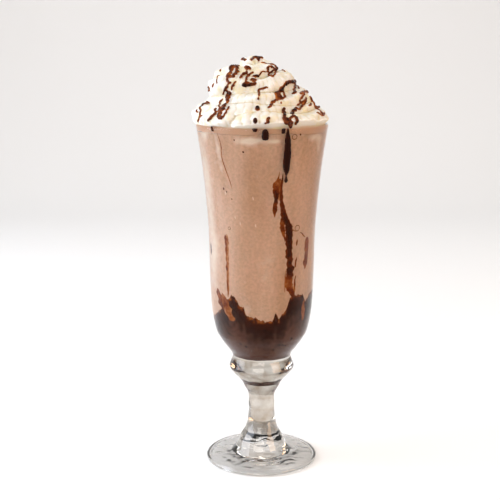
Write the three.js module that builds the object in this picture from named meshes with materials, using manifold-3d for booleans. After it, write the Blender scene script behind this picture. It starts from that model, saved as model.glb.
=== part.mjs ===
// A chocolate milkshake in a footed glass. Dark chocolate syrup lies at the bottom of the bowl and climbs
// the wall in streaks. Piped whipped cream is heaped over the rim under a drizzle of the same syrup.
// Millimetres, +Z up. The origin is the middle of the underside of the foot, and the front faces -Y.
// Places on the glass are given as [azimuth, height], with azimuth 0 at the front and 90 at the right.

import * as THREE from 'three';
import { mergeVertices } from 'three/addons/utils/BufferGeometryUtils.js';
import loadManifold from 'manifold-3d';

const manifold = await loadManifold();
manifold.setup();

// Glass
const glassHeight = 212.8;
const rimRadius = 40;
const rimThickness = 2.4;
const footRadius = 34.9;
const footEdge = 3;
const footFlatRadius = 33.2;
const stemRadius = 8.2;
const stemWaistHeight = 35;
const collarRadius = 12.3;
const collarHeight = 50.5;
const knopRadius = 20.15;
const knopHeight = 60.5;
const creaseRadius = 18.1;
const creaseHeight = 67.5;
const wellFloor = 68;

// Contents
const clearance = 0.3;
const grooveClearance = 0.5;
const shakeLevel = 209.4;
const shakeWave = 0.5;
const poolLevel = 92;
const streakDepth = 1.7;
const dripDepth = 1.3;
const endSharpness = 6;
const endGrowth = 4;

// Whipped cream, laid as one rope that winds inwards as it rises
const creamCentre = 212;
const lipHeight = glassHeight + clearance;
const ropeStart = 250;
const turnsPerStation = 0.8;
const ropeStations = [
  { ring: 33.0, height: 215.0, shift: -0.2, rope: 8.2 },
  { ring: 31.5, height: 215.8, shift: -1.4, rope: 8.1 },
  { ring: 25.5, height: 223.0, shift: -1.8, rope: 8.0 },
  { ring: 22.2, height: 227.2, shift: -1.8, rope: 7.8 },
  { ring: 18.3, height: 235.6, shift: -5.0, rope: 7.4 },
  { ring: 12.6, height: 240.0, shift: -7.0, rope: 7.0 },
  { ring: 4.4, height: 246.0, shift: -2.6, rope: 6.8 },
];
const ropeTilt = 1.8;
const ridges = 6;
const ridgeDepth = 0.6;
const ridgeTwist = 1.2;
const heartRadius = 31;
const heartHeight = 28;
const heartDepth = 12;
const foldSoftness = 0.8;

// Mesh fineness
const aroundGlass = 36;
const aroundCream = 42;
const upCream = 28;
const ropeSteps = 150;
const strandSides = 5;
const strandStep = 4.6;
const strandHeight = 0.8;

const degrees = Math.PI / 180;
const wallAt = (radius, azimuth, height) => new THREE.Vector3(
  radius * Math.sin(azimuth * degrees),
  -radius * Math.cos(azimuth * degrees),
  height,
);

// Materials
const clearGlass = new THREE.MeshStandardMaterial({ color: 0xdde6e8, roughness: 0.04, metalness: 0 });
const shakeTan = new THREE.MeshStandardMaterial({ color: 0xc19a80, roughness: 0.45, metalness: 0 });
const syrupBrown = new THREE.MeshStandardMaterial({ color: 0x3a1a0e, roughness: 0.2, metalness: 0 });
const creamWhite = new THREE.MeshStandardMaterial({ color: 0xf6eee0, roughness: 0.55, metalness: 0 });

// Solids

// Any closed geometry, with its shared corners merged, as a solid that can be joined and cut.
function solidOf(geometry) {
  const bare = geometry.clone();
  bare.deleteAttribute('normal');
  bare.deleteAttribute('uv');
  const merged = mergeVertices(bare, 1e-4);
  const corners = merged.attributes.position.array;
  const triangles = [];
  for (let i = 0; i < merged.index.count; i += 3) {
    const [a, b, c] = [0, 1, 2].map((k) => merged.index.getX(i + k));
    if (a !== b && b !== c && c !== a) {
      triangles.push(a, b, c);
    }
  }
  const solid = new manifold.Manifold(new manifold.Mesh({
    numProp: 3,
    vertProperties: new Float32Array(corners),
    triVerts: new Uint32Array(triangles),
  }));
  return solid;
}

// The one main body of a joined or cut solid: loose scraps are dropped and sealed hollows filled.
const mainBody = (solid) => solid.decompose().sort((one, other) => other.volume() - one.volume())[0];

// A joined or cut solid, as a named mesh.
function meshOf(name, solid, material) {
  const result = solid.getMesh();
  const geometry = new THREE.BufferGeometry();
  geometry.setAttribute('position', new THREE.BufferAttribute(new Float32Array(result.vertProperties), 3));
  geometry.setIndex(new THREE.BufferAttribute(new Uint32Array(result.triVerts), 1));
  geometry.computeVertexNormals();
  const mesh = new THREE.Mesh(geometry, material);
  mesh.name = name;
  return mesh;
}

const points = (pairs) => pairs.map(([across, up]) => new THREE.Vector2(across, up));
const smooth = (pairs, steps) => new THREE.SplineCurve(points(pairs)).getPoints(steps);

// A profile of radius and height, spun about the upright axis.
function turned(profile) {
  const geometry = new THREE.LatheGeometry(profile, aroundGlass);
  geometry.rotateX(Math.PI / 2);
  return geometry;
}

// The glass

// Outside, from the foot up: the foot's dished top, the drawn stem, the collar, the knop and the bowl.
const footTop = [
  [footFlatRadius, footEdge + 0.3],
  [26, 4.2],
  [18.5, 5.3],
];
const stem = [
  [18.5, 5.3],
  [15.6, 9],
  [13.3, 14.5],
  [10.1, 20],
  [8.6, 27],
  [stemRadius, stemWaistHeight],
  [8.4, 42.5],
  [11.2, 48],
  [collarRadius, collarHeight],
];
const knop = [
  [collarRadius, collarHeight],
  [15.2, 54],
  [18, 57],
  [knopRadius, knopHeight],
  [19.3, 63.8],
  [creaseRadius, creaseHeight],
];
const bowl = [
  [creaseRadius, creaseHeight],
  [19.3, 70.6],
  [22.6, 75],
  [26, 80],
  [28.8, 86],
  [31.2, 100],
  [32.1, 120],
  [32.9, 150],
  [35.5, 180],
  [38.9, 205],
  [rimRadius, glassHeight - rimThickness / 2],
];
const well = [
  [0, wellFloor],
  [9, wellFloor + 0.4],
  [15.5, 71.5],
  [19, 75],
  [22.7, 80.4],
  [25.5, 86.5],
  [28, 100],
  [29, 120],
  [30.1, 150],
  [33, 180],
  [36.5, 205],
  [rimRadius - rimThickness, glassHeight - rimThickness / 2],
];
const bowlProfile = smooth(bowl, 13);
const wellProfile = smooth(well, 14);

// The radius of a rising profile at a height.
function radiusOn(profile, height) {
  const above = profile.findIndex((point) => point.y >= height);
  if (above <= 0) {
    return profile[above === 0 ? 0 : profile.length - 1].x;
  }
  const low = profile[above - 1];
  const high = profile[above];
  return THREE.MathUtils.mapLinear(height, low.y, high.y, low.x, high.x);
}

const bowlRadius = (height) => radiusOn(bowlProfile, height);
const wellRadius = (height) => radiusOn(wellProfile, height);

function roundEdge(centre, radius, from, to, steps) {
  const arc = [];
  for (let i = 0; i <= steps; i += 1) {
    const angle = THREE.MathUtils.lerp(from, to, i / steps) * degrees;
    arc.push(new THREE.Vector2(centre[0] + radius * Math.cos(angle), centre[1] + radius * Math.sin(angle)));
  }
  return arc;
}

function glass() {
  const edgeRadius = footEdge / 2;
  const foot = roundEdge([footRadius - edgeRadius, edgeRadius], edgeRadius, -90, 80, 3);
  const rimMiddle = [rimRadius - rimThickness / 2, glassHeight - rimThickness / 2];
  const rim = roundEdge(rimMiddle, rimThickness / 2, 0, 180, 4);
  const profile = [
    new THREE.Vector2(0, 0),
    ...foot,
    ...smooth(footTop, 2).slice(0, -1),
    ...smooth(stem, 12).slice(0, -1),
    ...smooth(knop, 7).slice(0, -1),
    ...bowlProfile.slice(0, -1),
    ...rim,
    ...wellProfile.slice(1, -1).reverse(),
    new THREE.Vector2(0, wellFloor),
  ];
  return solidOf(turned(profile));
}

// The contents

// All that the well holds, a clearance inside its wall, up to a height.
function wellFilling(top) {
  const wall = [];
  wellProfile.forEach((point, i) => {
    const before = wellProfile[Math.max(i - 1, 0)];
    const after = wellProfile[Math.min(i + 1, wellProfile.length - 1)];
    const along = after.clone().sub(before).normalize();
    const inset = new THREE.Vector2(point.x - along.y * clearance, point.y + along.x * clearance);
    if (inset.y < top && inset.x > 0) {
      wall.push(inset);
    }
  });
  const brim = wellRadius(top) - clearance;
  const profile = [
    new THREE.Vector2(0, wellFloor + clearance),
    ...wall,
    new THREE.Vector2(brim, top),
    new THREE.Vector2(0, top),
  ];
  return solidOf(turned(profile));
}

// A round slab, wider than the glass, whose top follows a height that varies with azimuth and radius.
function slab(bottom, rings, topAt) {
  const flat = bottom + 400;
  const outer = rings[rings.length - 1];
  const profile = [
    new THREE.Vector2(0, bottom),
    new THREE.Vector2(outer, bottom),
    ...rings.slice().reverse().map((radius) => new THREE.Vector2(radius, flat)),
  ];
  const geometry = turned(profile);
  const place = geometry.attributes.position;
  for (let i = 0; i < place.count; i += 1) {
    if (place.getZ(i) > flat - 1) {
      const radius = Math.hypot(place.getX(i), place.getY(i));
      const azimuth = Math.atan2(place.getX(i), -place.getY(i)) / degrees;
      place.setZ(i, topAt(azimuth, radius));
    }
  }
  return solidOf(geometry);
}

// Where the pool of syrup ends on the wall, from the left round the front to the right.
// The back, which joins the two ends, is a plain slow wave.
const poolEdge = [
  [-96, 92],
  [-81, 95],
  [-60, 100],
  [-45, 107],
  [-36, 111.5],
  [-30, 108.5],
  [-21, 103.5],
  [-14, 99.5],
  [0, 97],
  [10, 96.8],
  [16.5, 101],
  [21, 98.5],
  [27, 102.5],
  [33, 111],
  [53, 111],
  [61, 106],
  [69, 109.5],
  [90, 111],
];
const backEdgeMean = 101;
const backEdgeTurn = 250;
function backEdge(azimuth) {
  const turn = (azimuth - backEdgeTurn) * degrees;
  return backEdgeMean + 5 * Math.cos(3 * turn) - 4 * Math.cos(turn);
}

function poolEdgeAt(azimuth) {
  const first = poolEdge[0][0];
  const last = poolEdge[poolEdge.length - 1][0];
  if (azimuth < first || azimuth > last) {
    const turn = azimuth < first ? azimuth + 360 : azimuth;
    const reach = (turn - last) / (first + 360 - last);
    const join = Math.sin(Math.PI * reach);
    const straight = THREE.MathUtils.lerp(poolEdge[poolEdge.length - 1][1], poolEdge[0][1], reach);
    return THREE.MathUtils.lerp(straight, backEdge(turn), join);
  }
  const next = poolEdge.findIndex(([at]) => at >= azimuth);
  if (next === 0) {
    return poolEdge[0][1];
  }
  const [low, high] = [poolEdge[next - 1], poolEdge[next]];
  return THREE.MathUtils.mapLinear(azimuth, low[0], high[0], low[1], high[1]);
}

// The pool is level in the middle and climbs steeply to its edge on the wall.
function poolTop(azimuth, radius) {
  const climb = Math.min(radius / 28, 1) ** 6;
  return THREE.MathUtils.lerp(poolLevel, poolEdgeAt(azimuth), climb);
}

function shakeTop(azimuth, radius) {
  const wave = Math.cos(azimuth * 3 * degrees) + 0.6 * Math.sin(azimuth * 5 * degrees);
  return shakeLevel + shakeWave * wave * Math.min(radius / rimRadius, 1);
}

const poolRings = [0, 14, 21, 25.5, 28.5, 45];
const levelRings = [0, 18, 45];

// Runs of syrup on the wall, each a list of [azimuth, height, half width].
const mainStreak = [
  [18.5, 187, 0.8],
  [19.3, 176.5, 1],
  [21, 167.5, 1.3],
  [25, 163, 1.6],
  [29, 157, 1.8],
  [32, 151, 1.9],
  [33, 132.5, 2.1],
  [32.2, 128.5, 2.5],
  [33.7, 118.5, 2.2],
  [36, 108, 2.2],
  [36.5, 101, 3],
];
const sideBranch = [
  [19.4, 184, 1],
  [16.4, 183, 1],
  [13.6, 179, 1.3],
  [12.7, 173.7, 1.6],
  [11.5, 168, 1],
  [10.5, 162.5, 0.8],
];
const leftStreak = [
  [-44.7, 149, 0.8],
  [-43.8, 142, 0.8],
  [-43.2, 130, 0.7],
  [-43.6, 118, 0.8],
  [-42.9, 107, 1.6],
  [-42.5, 100, 2.4],
];
const rightStreak = [
  [59.1, 147, 1.1],
  [58.8, 142, 1.5],
  [58, 134, 1.5],
  [55.6, 126.5, 0.9],
];

// Drops and runs over the rim, down the outside of the glass.
const drips = [
  [[22.2, 213.4, 1.1], [21.7, 210.5, 1.4], [21.6, 204, 2.1], [21.8, 197, 2.5], [22, 190.5, 2.3],
    [22.1, 187, 0.7], [22.4, 183.2, 1.3], [22.5, 181.6, 1]],
  [[2, 213, 1.3], [2, 209.8, 2.1], [2.1, 206.3, 1.9]],
  [[-6.4, 213.4, 1.9], [-6.4, 211.2, 1]],
  [[17.4, 213.3, 1.2], [16.8, 210, 1]],
  [[-47.6, 213.4, 0.8], [-46, 210.4, 0.9]],
];

// A run on a wall: a long rounded bead whose back follows the wall and whose face stands off it by a depth.
function bead(run, wallRadius, depth, grow = 0) {
  const steps = Math.round(run.length * 1.5);
  const sides = 7;
  const geometry = new THREE.SphereGeometry(1, sides, steps);
  const middle = new THREE.CatmullRomCurve3(run.map(([azimuth, height, half]) => (
    new THREE.Vector3(azimuth, height, half)
  )), false, 'catmullrom', 0.5);
  const place = geometry.attributes.position;
  for (let i = 0; i < place.count; i += 1) {
    const along = Math.acos(THREE.MathUtils.clamp(place.getY(i), -1, 1)) / Math.PI;
    const ring = Math.hypot(place.getX(i), place.getZ(i));
    const across = ring > 1e-6 ? place.getX(i) / ring : 0;
    const outward = ring > 1e-6 ? place.getZ(i) / ring : 0;
    const { x: azimuth, y: height, z: half } = middle.getPoint(along);
    const nearEnd = Math.abs(2 * along - 1) ** endSharpness;
    const rounding = Math.sqrt(1 - nearEnd);
    const beyond = Math.sign(0.5 - along) * endGrowth * grow * nearEnd;
    const level = height + beyond;
    const wall = wallRadius(level);
    const width = (half + grow) * rounding;
    const thick = (Math.abs(depth) + 2 * grow) * rounding;
    const stand = Math.sign(depth) * ((outward + 1) / 2 * thick - grow);
    const turn = azimuth + (across * width) / (wall * degrees);
    const at = wallAt(wall + stand, turn, level);
    place.setXYZ(i, at.x, at.y, at.z);
  }
  return rightWayOut(geometry);
}

// Turns every triangle of a geometry whose faces point inwards.
function rightWayOut(geometry) {
  const place = geometry.attributes.position;
  const index = geometry.index;
  const [a, b, c] = [new THREE.Vector3(), new THREE.Vector3(), new THREE.Vector3()];
  let volume = 0;
  for (let i = 0; i < index.count; i += 3) {
    a.fromBufferAttribute(place, index.getX(i));
    b.fromBufferAttribute(place, index.getX(i + 1));
    c.fromBufferAttribute(place, index.getX(i + 2));
    volume += a.dot(b.cross(c));
  }
  if (volume < 0) {
    for (let i = 0; i < index.count; i += 3) {
      const second = index.getX(i + 1);
      index.setX(i + 1, index.getX(i + 2));
      index.setX(i + 2, second);
    }
  }
  return solidOf(geometry);
}

const insideWall = (height) => wellRadius(height) - clearance;
const outsideWall = (height) => bowlRadius(height) + clearance;
const streak = (run, grow = 0) => bead(run, insideWall, -streakDepth, grow);
const fusedStreaks = [mainStreak, sideBranch, leftStreak];

function syrup() {
  const pool = wellFilling(poolLevel + 30).intersect(slab(wellFloor - 10, poolRings, poolTop));
  return fusedStreaks.reduce((joined, run) => joined.add(streak(run)), pool);
}

function milkshake() {
  const top = glassHeight - rimThickness;
  const overPool = (azimuth, radius) => poolTop(azimuth, radius) + grooveClearance;
  let body = wellFilling(top).intersect(slab(wellFloor - 10, levelRings, shakeTop));
  body = body.subtract(slab(wellFloor - 20, poolRings, overPool));
  [...fusedStreaks, rightStreak].forEach((run) => {
    body = body.subtract(streak(run, grooveClearance));
  });
  return mainBody(body);
}

// The whipped cream

// The middle of the rope and its radius, at each of many steps from the rim to the peak.
const ropeTurns = turnsPerStation * (ropeStations.length - 1);
const ropeLine = new THREE.CatmullRomCurve3(ropeStations.map(({ ring, height, shift }) => (
  new THREE.Vector3(ring, height, shift)
)), false, 'catmullrom', 0.5);
const ropeWidth = new THREE.SplineCurve(ropeStations.map(({ rope }, i) => new THREE.Vector2(i, rope)));

function ropeAt(reach) {
  const { x: ring, y: height, z: shift } = ropeLine.getPoint(reach);
  const angle = ropeStart * degrees + 2 * Math.PI * ropeTurns * reach;
  const sway = 1 + 0.05 * Math.sin(1.37 * angle + 1) + 0.035 * Math.sin(2.63 * angle);
  const bob = 0.8 * Math.sin(1.7 * angle + 2) + 0.5 * Math.sin(3.1 * angle);
  const swell = 1 + 0.07 * Math.sin(2.3 * angle + 0.5) + 0.05 * Math.sin(4.1 * angle + 2);
  return {
    middle: new THREE.Vector3(
      shift + ring * sway * Math.cos(angle),
      ring * sway * Math.sin(angle),
      height - ropeTilt * Math.cos(angle) * (1 - reach) + bob - creamCentre,
    ),
    radius: ropeWidth.getPoint(reach).y * swell,
    turn: 2 * Math.PI * ropeTurns * reach,
  };
}

const rope = [];
for (let i = 0; i <= ropeSteps; i += 1) {
  rope.push(ropeAt(i / ropeSteps));
}
rope.forEach((step, i) => {
  const before = rope[Math.max(i - 1, 0)].middle;
  const after = rope[Math.min(i + 1, ropeSteps)].middle;
  step.along = after.clone().sub(before).normalize();
  step.up = new THREE.Vector3(0, 0, 1).addScaledVector(step.along, -step.along.z).normalize();
  step.side = step.along.clone().cross(step.up);
});

// How far the cream reaches from its centre in a direction: the outermost rope there, or the heart under it.
function creamReach(direction) {
  let far = -1;
  let outermost = rope[0];
  rope.forEach((step) => {
    const ahead = direction.dot(step.middle);
    const gap = step.radius ** 2 - (step.middle.lengthSq() - ahead ** 2);
    if (gap > 0 && ahead + Math.sqrt(gap) > far) {
      far = ahead + Math.sqrt(gap);
      outermost = step;
    }
  });
  const around = Math.hypot(direction.x, direction.y) / heartRadius;
  const rise = direction.z / (direction.z > 0 ? heartHeight : heartDepth);
  const heart = 1 / Math.hypot(around, rise);
  if (far > 0) {
    const offset = direction.clone().multiplyScalar(far).sub(outermost.middle);
    const angle = Math.atan2(offset.dot(outermost.up), offset.dot(outermost.side));
    far += ridgeDepth * Math.cos(ridges * angle + ridgeTwist * outermost.turn);
  }
  const most = Math.max(far, heart);
  const blend = Math.exp((far - most) / foldSoftness) + Math.exp((heart - most) / foldSoftness);
  return most + foldSoftness * Math.log(blend);
}

const directionAt = (azimuth, elevation) => new THREE.Vector3(
  Math.sin(azimuth * degrees) * Math.cos(elevation * degrees),
  -Math.cos(azimuth * degrees) * Math.cos(elevation * degrees),
  Math.sin(elevation * degrees),
);

// The cream stays inside the rim at the front and laps a little over it at the left and the back.
function creamSurface(direction) {
  const at = direction.clone().multiplyScalar(creamReach(direction));
  const azimuth = Math.atan2(direction.x, -direction.y);
  const lip = rimRadius - 0.4 - 1.4 * Math.cos(azimuth) - 1.3 * Math.sin(azimuth);
  const above = Math.max(at.z + creamCentre - lipHeight, 0);
  const most = lip + 0.9 * above;
  const radius = Math.hypot(at.x, at.y);
  if (radius > most) {
    at.x *= most / radius;
    at.y *= most / radius;
  }
  at.z += creamCentre;
  return at;
}

// Strands of syrup over the cream, each with its half width and its places as [azimuth, elevation] seen
// from the cream's centre.
const strands = [
  { half: 2.1, line: [[-47, 62], [-44, 54], [-43, 46], [-41, 38]] },
  { half: 1.7, line: [[-43, 41], [-44, 35], [-42, 28], [-38, 20], [-37, 12], [-37, 8]] },
  { half: 1.3, line: [[-30, 44], [-35, 37], [-35, 30], [-32, 22], [-31, 15]] },
  { half: 1.2, line: [[-26, 62], [-29, 54], [-29, 46]] },
  { half: 1.3, line: [[-14, 61], [-20, 52], [-22, 42], [-12, 42], [-7, 52], [-1, 62], [13, 66]] },
  { half: 1.7, line: [[-21, 44], [-15, 41], [-9, 43]] },
  { half: 1.2, line: [[-69, 80], [-30, 79], [20, 82]] },
  { half: 1.5, line: [[7, 64], [19, 69], [34, 66], [25, 56], [10, 55]] },
  { half: 1, line: [[60, 69], [48, 62], [50, 56]] },
  { half: 1.9, line: [[74, 51], [58, 49], [42, 46], [30, 41], [24, 33], [18, 29], [10, 25], [5, 19]] },
  { half: 1.3, line: [[72, 51], [56, 43], [44, 35], [40, 32]] },
  { half: 1.4, line: [[75, 36], [53, 31], [45, 26], [38, 20], [29, 17], [24, 10], [21, 4]] },
  { half: 1.4, line: [[22, 21], [21, 14], [17, 9], [20, 4]] },
  { half: 1.1, line: [[66, 32], [73, 24], [69, 17], [65, 11]] },
  { half: 1, line: [[-61, 51], [-64, 47], [-56, 40]] },
  { half: 1, line: [[-83, 22], [-76, 18], [-64, 12]] },
  { half: 1.2, line: [[-42, 17], [-44, 12], [-48, 6]] },
  { half: 1, line: [[7, 43], [0, 43], [-4, 38], [-4, 30]] },
];
const drops = [
  { half: 1.7, at: [-4, 18] },
  { half: 1.4, at: [-5, 8] },
  { half: 1.8, at: [4, 9] },
];
const backTurn = 178;
const backLowering = 0.96;
const backLeastHalf = 1.3;

// The back carries the thicker strands again, turned round the glass.
const turnedBack = ([azimuth, elevation]) => [azimuth + backTurn, elevation * backLowering];
const backStrands = strands.filter(({ half }) => half > backLeastHalf);
const allStrands = [
  ...strands,
  ...backStrands.map(({ half, line }) => ({ half, line: line.map(turnedBack) })),
];
const allDrops = [...drops, ...drops.map(({ half, at }) => ({ half, at: turnedBack(at) }))];

// A strand lies along the cream's folds, as a long bead with rounded ends, half sunk in the cream.
function strand({ half, line }) {
  const route = new THREE.SplineCurve(points(line));
  const rough = route.getPoints(line.length * 4).map(({ x, y }) => creamSurface(directionAt(x, y)));
  const loose = new THREE.CatmullRomCurve3(rough);
  const spans = Math.ceil(loose.getLength() / strandStep) + 1;
  const path = new THREE.CatmullRomCurve3(loose.getSpacedPoints(spans));
  const steps = Math.ceil(path.getLength() / strandStep) + 2;
  const geometry = new THREE.SphereGeometry(1, strandSides, steps);
  const place = geometry.attributes.position;
  for (let i = 0; i < place.count; i += 1) {
    const along = Math.acos(THREE.MathUtils.clamp(place.getY(i), -1, 1)) / Math.PI;
    const angle = Math.atan2(place.getZ(i), place.getX(i));
    const rounding = Math.sqrt(Math.max(1 - Math.abs(2 * along - 1) ** endSharpness, 0));
    const middle = path.getPointAt(along);
    const ahead = path.getTangentAt(along);
    const outward = middle.clone().setZ(middle.z - creamCentre).normalize();
    const side = ahead.clone().cross(outward).normalize();
    const up = side.clone().cross(ahead).normalize();
    middle.addScaledVector(side, half * rounding * Math.cos(angle));
    middle.addScaledVector(up, half * strandHeight * rounding * Math.sin(angle));
    place.setXYZ(i, middle.x, middle.y, middle.z);
  }
  return rightWayOut(geometry);
}

function drop({ half, at }) {
  const direction = directionAt(at[0], at[1]);
  const geometry = new THREE.IcosahedronGeometry(half, 1);
  const middle = creamSurface(direction).addScaledVector(direction, half * 0.2);
  geometry.translate(middle.x, middle.y, middle.z);
  return mergedOut(geometry);
}

// A geometry without an index, merged, with its faces turned outwards.
function mergedOut(geometry) {
  geometry.deleteAttribute('normal');
  geometry.deleteAttribute('uv');
  return rightWayOut(mergeVertices(geometry, 1e-4));
}

function whippedCream() {
  const ball = new THREE.SphereGeometry(1, aroundCream, upCream);
  ball.rotateX(Math.PI / 2);
  const place = ball.attributes.position;
  const direction = new THREE.Vector3();
  for (let i = 0; i < place.count; i += 1) {
    direction.fromBufferAttribute(place, i).normalize();
    const at = creamSurface(direction);
    place.setXYZ(i, at.x, at.y, at.z);
  }
  const joined = [
    ...allStrands.map(strand),
    ...allDrops.map(drop),
  ].reduce((all, piece) => all.add(piece), mergedOut(ball));
  const belowLip = slab(creamCentre - 60, [0, 60], () => lipHeight);
  const plugFloor = (azimuth, radius) => shakeTop(azimuth, radius) + clearance;
  const plug = wellFilling(lipHeight + 0.5).subtract(slab(wellFloor - 10, levelRings, plugFloor));
  return mainBody(joined.subtract(belowLip).add(plug));
}

const shake = new THREE.Group();
shake.add(meshOf('glass', glass(), clearGlass));
shake.add(meshOf('syrup', syrup(), syrupBrown));
shake.add(meshOf('syrup_streak_right', streak(rightStreak), syrupBrown));
shake.add(meshOf('milkshake', milkshake(), shakeTan));
shake.add(meshOf('whipped_cream', whippedCream(), creamWhite));
drips.forEach((run, i) => {
  shake.add(meshOf(`syrup_drip_${i + 1}`, bead(run, outsideWall, dripDepth), syrupBrown));
});

export default shake;
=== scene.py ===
# %% [markdown]
# A chocolate milkshake in a footed glass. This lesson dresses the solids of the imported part: clear
# pressed glass, a thick drink with dark syrup behind it, piped cream and a glossy drizzle of syrup.
# The solids are loaded first, and every new piece is measured from the same named sizes.

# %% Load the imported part
import math

import bmesh
import bpy
import numpy as np
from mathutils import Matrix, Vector, noise


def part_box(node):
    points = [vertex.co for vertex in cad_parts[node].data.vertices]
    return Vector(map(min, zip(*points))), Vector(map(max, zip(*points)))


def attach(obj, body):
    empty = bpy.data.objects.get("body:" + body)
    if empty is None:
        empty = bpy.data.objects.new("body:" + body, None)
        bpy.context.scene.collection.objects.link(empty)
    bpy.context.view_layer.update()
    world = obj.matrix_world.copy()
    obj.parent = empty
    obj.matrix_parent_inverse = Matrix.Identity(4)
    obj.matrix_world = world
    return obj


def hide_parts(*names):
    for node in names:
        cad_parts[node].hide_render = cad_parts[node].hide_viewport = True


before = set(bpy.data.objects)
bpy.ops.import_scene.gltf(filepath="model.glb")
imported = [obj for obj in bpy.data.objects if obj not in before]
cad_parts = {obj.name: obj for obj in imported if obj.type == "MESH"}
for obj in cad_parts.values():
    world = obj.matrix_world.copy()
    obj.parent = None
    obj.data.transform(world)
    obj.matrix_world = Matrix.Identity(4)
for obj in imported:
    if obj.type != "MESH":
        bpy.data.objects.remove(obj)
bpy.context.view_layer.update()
MM = 0.001
rim_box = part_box("glass")
GLASS_HEIGHT = (rim_box[1][2] - rim_box[0][2]) / MM
RIM_RADIUS = (rim_box[1][0] - rim_box[0][0]) / MM / 2
print("glass", round(GLASS_HEIGHT, 1), "mm tall, rim radius", round(RIM_RADIUS, 1), "mm")

# %% [markdown]
# The camera stands where the picture was taken from: at the height of the cream, a good half metre away,
# looking a little down. A long lens keeps the sides of the glass nearly upright. The camera comes first,
# so that every later piece can be judged in the same view.

# %% Camera
CAMERA_PLACE = (-7.3, -667.0, 271.5)
CAMERA_DOWN = 11.6
FOCAL_PIXELS = 1101
FRAME_PIXELS = 500
SENSOR = 36.0


def linked(name, data):
    """A new object in the scene."""
    made = bpy.data.objects.new(name, data)
    bpy.context.scene.collection.objects.link(made)
    return made


camera_data = bpy.data.cameras.new("camera")
camera_data.sensor_width = SENSOR
camera_data.lens = SENSOR * FOCAL_PIXELS / FRAME_PIXELS
camera_data.clip_start = 0.01
camera = linked("camera", camera_data)
camera.location = Vector(CAMERA_PLACE) * MM
camera.rotation_euler = (math.radians(90 - CAMERA_DOWN), 0, 0)
bpy.context.scene.camera = camera
print("lens", round(camera_data.lens, 1), "mm")

# %% [markdown]
# Small helpers serve every material. The first turns the colours that a painter would pick on screen into
# the linear numbers that light is added up in. The second adds a node, sets it and wires it in one call, and
# the others start an empty material and lay colours along a value.

# %% Colour and node helpers
def srgb(code):
    """A screen colour such as #c79c83, as linear red, green, blue and a full alpha."""
    parts = [int(code[i:i + 2], 16) / 255 for i in (1, 3, 5)]
    linear = [v / 12.92 if v <= 0.04045 else ((v + 0.055) / 1.055) ** 2.4 for v in parts]
    return (*linear, 1.0)


def add(tree, kind, settings=None, links=None):
    """A new node. settings are its properties or inputs, and links are outputs, or nodes, to wire in."""
    made = tree.nodes.new("ShaderNode" + kind)
    for name, value in (settings or {}).items():
        if isinstance(name, int) or name in made.inputs:
            made.inputs[name].default_value = value
        else:
            setattr(made, name, value)
    for name, source in (links or {}).items():
        first = source.outputs[0] if isinstance(source, bpy.types.Node) else source
        tree.links.new(first, made.inputs[name])
    return made


def blank(name):
    """An empty material, with its tree."""
    material = bpy.data.materials.new(name)
    material.use_nodes = True
    tree = material.node_tree
    tree.nodes.clear()
    print("material", name)
    return material, tree


def ramp(tree, source, stops):
    """Colours along a value, as (place, screen colour) pairs."""
    made = add(tree, "ValToRGB", links={"Fac": source})
    points = made.color_ramp.elements
    while len(points) < len(stops):
        points.new(0.5)
    for point, (place, code) in zip(points, stops):
        point.position = place
        point.color = srgb(code)
    return made


print("a tan of #d6b095 is", [round(v, 3) for v in srgb("#d6b095")[:3]], "in linear light")

# %% [markdown]
# The room is a sheet of pale paper: a floor that curves up into a wall, so that no line shows behind the
# glass. Clear glass shows only what it bends and mirrors, so the floor is painted in shade to the front, where
# it would lie as a haze over the dark syrup. It lies a hair below the foot, so the two never touch.

# %% Pale floor
FLOOR_PALE = "#f5f6f7"
FLOOR_PAINTED_SHADE = "#a5a29f"
FLOOR_GAP = 0.15 * MM
AWAY = (-0.25, 1.0, 0.0)
SHADED_FROM = -0.27
PALE_FROM = -0.085
SWEEP_WIDTH = 9.0
SWEEP_FRONT = -4.5
SWEEP_BACK = 0.9
SWEEP_CURVE = 0.5
SWEEP_TOP = 2.2

paper_material, tree = blank("matt_paper_sweep")
where = add(tree, "TexCoord").outputs["Object"]
away = add(tree, "VectorMath", {"operation": "DOT_PRODUCT", 1: AWAY}, {0: where})
near = add(tree, "MapRange", {"From Min": SHADED_FROM, "From Max": PALE_FROM},
           {"Value": away.outputs["Value"]})
# Painted shade: the paper's colour darkens towards the front and a little to the right, away from the glass.
paper_and_painted_shade = ramp(tree, near, [(0.0, FLOOR_PAINTED_SHADE), (1.0, FLOOR_PALE)])
shader = add(tree, "BsdfPrincipled", {"Roughness": 0.9}, {"Base Color": paper_and_painted_shade})
add(tree, "OutputMaterial", links={"Surface": shader})

sweep = bmesh.new()
corner = [(SWEEP_FRONT, 0.0)]
corner += [
    (SWEEP_BACK + SWEEP_CURVE * math.sin(a), SWEEP_CURVE * (1 - math.cos(a)))
    for a in np.linspace(0, math.pi / 2, 16)
]
corner.append((SWEEP_BACK + SWEEP_CURVE, SWEEP_TOP))
line = [sweep.verts.new((-SWEEP_WIDTH / 2, y, z - FLOOR_GAP)) for y, z in corner]
edges = [sweep.edges.new(pair) for pair in zip(line, line[1:])]
pulled = bmesh.ops.extrude_edge_only(sweep, edges=edges)
across = [v for v in pulled["geom"] if isinstance(v, bmesh.types.BMVert)]
bmesh.ops.translate(sweep, verts=across, vec=(SWEEP_WIDTH, 0, 0))
bmesh.ops.recalc_face_normals(sweep, faces=sweep.faces)
for face in sweep.faces:
    face.smooth = True
sweep_mesh = bpy.data.meshes.new("sweep")
sweep.to_mesh(sweep_mesh)
sweep_mesh.materials.append(paper_material)
linked("sweep", sweep_mesh)
print("sweep", SWEEP_WIDTH, "m wide")

# %% [markdown]
# A tall window on the left models the cream and gives the glass its bright left edge. A broad light fills
# the front, a warm card stands on the right, and a weak light behind parts the cream from the wall.

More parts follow.
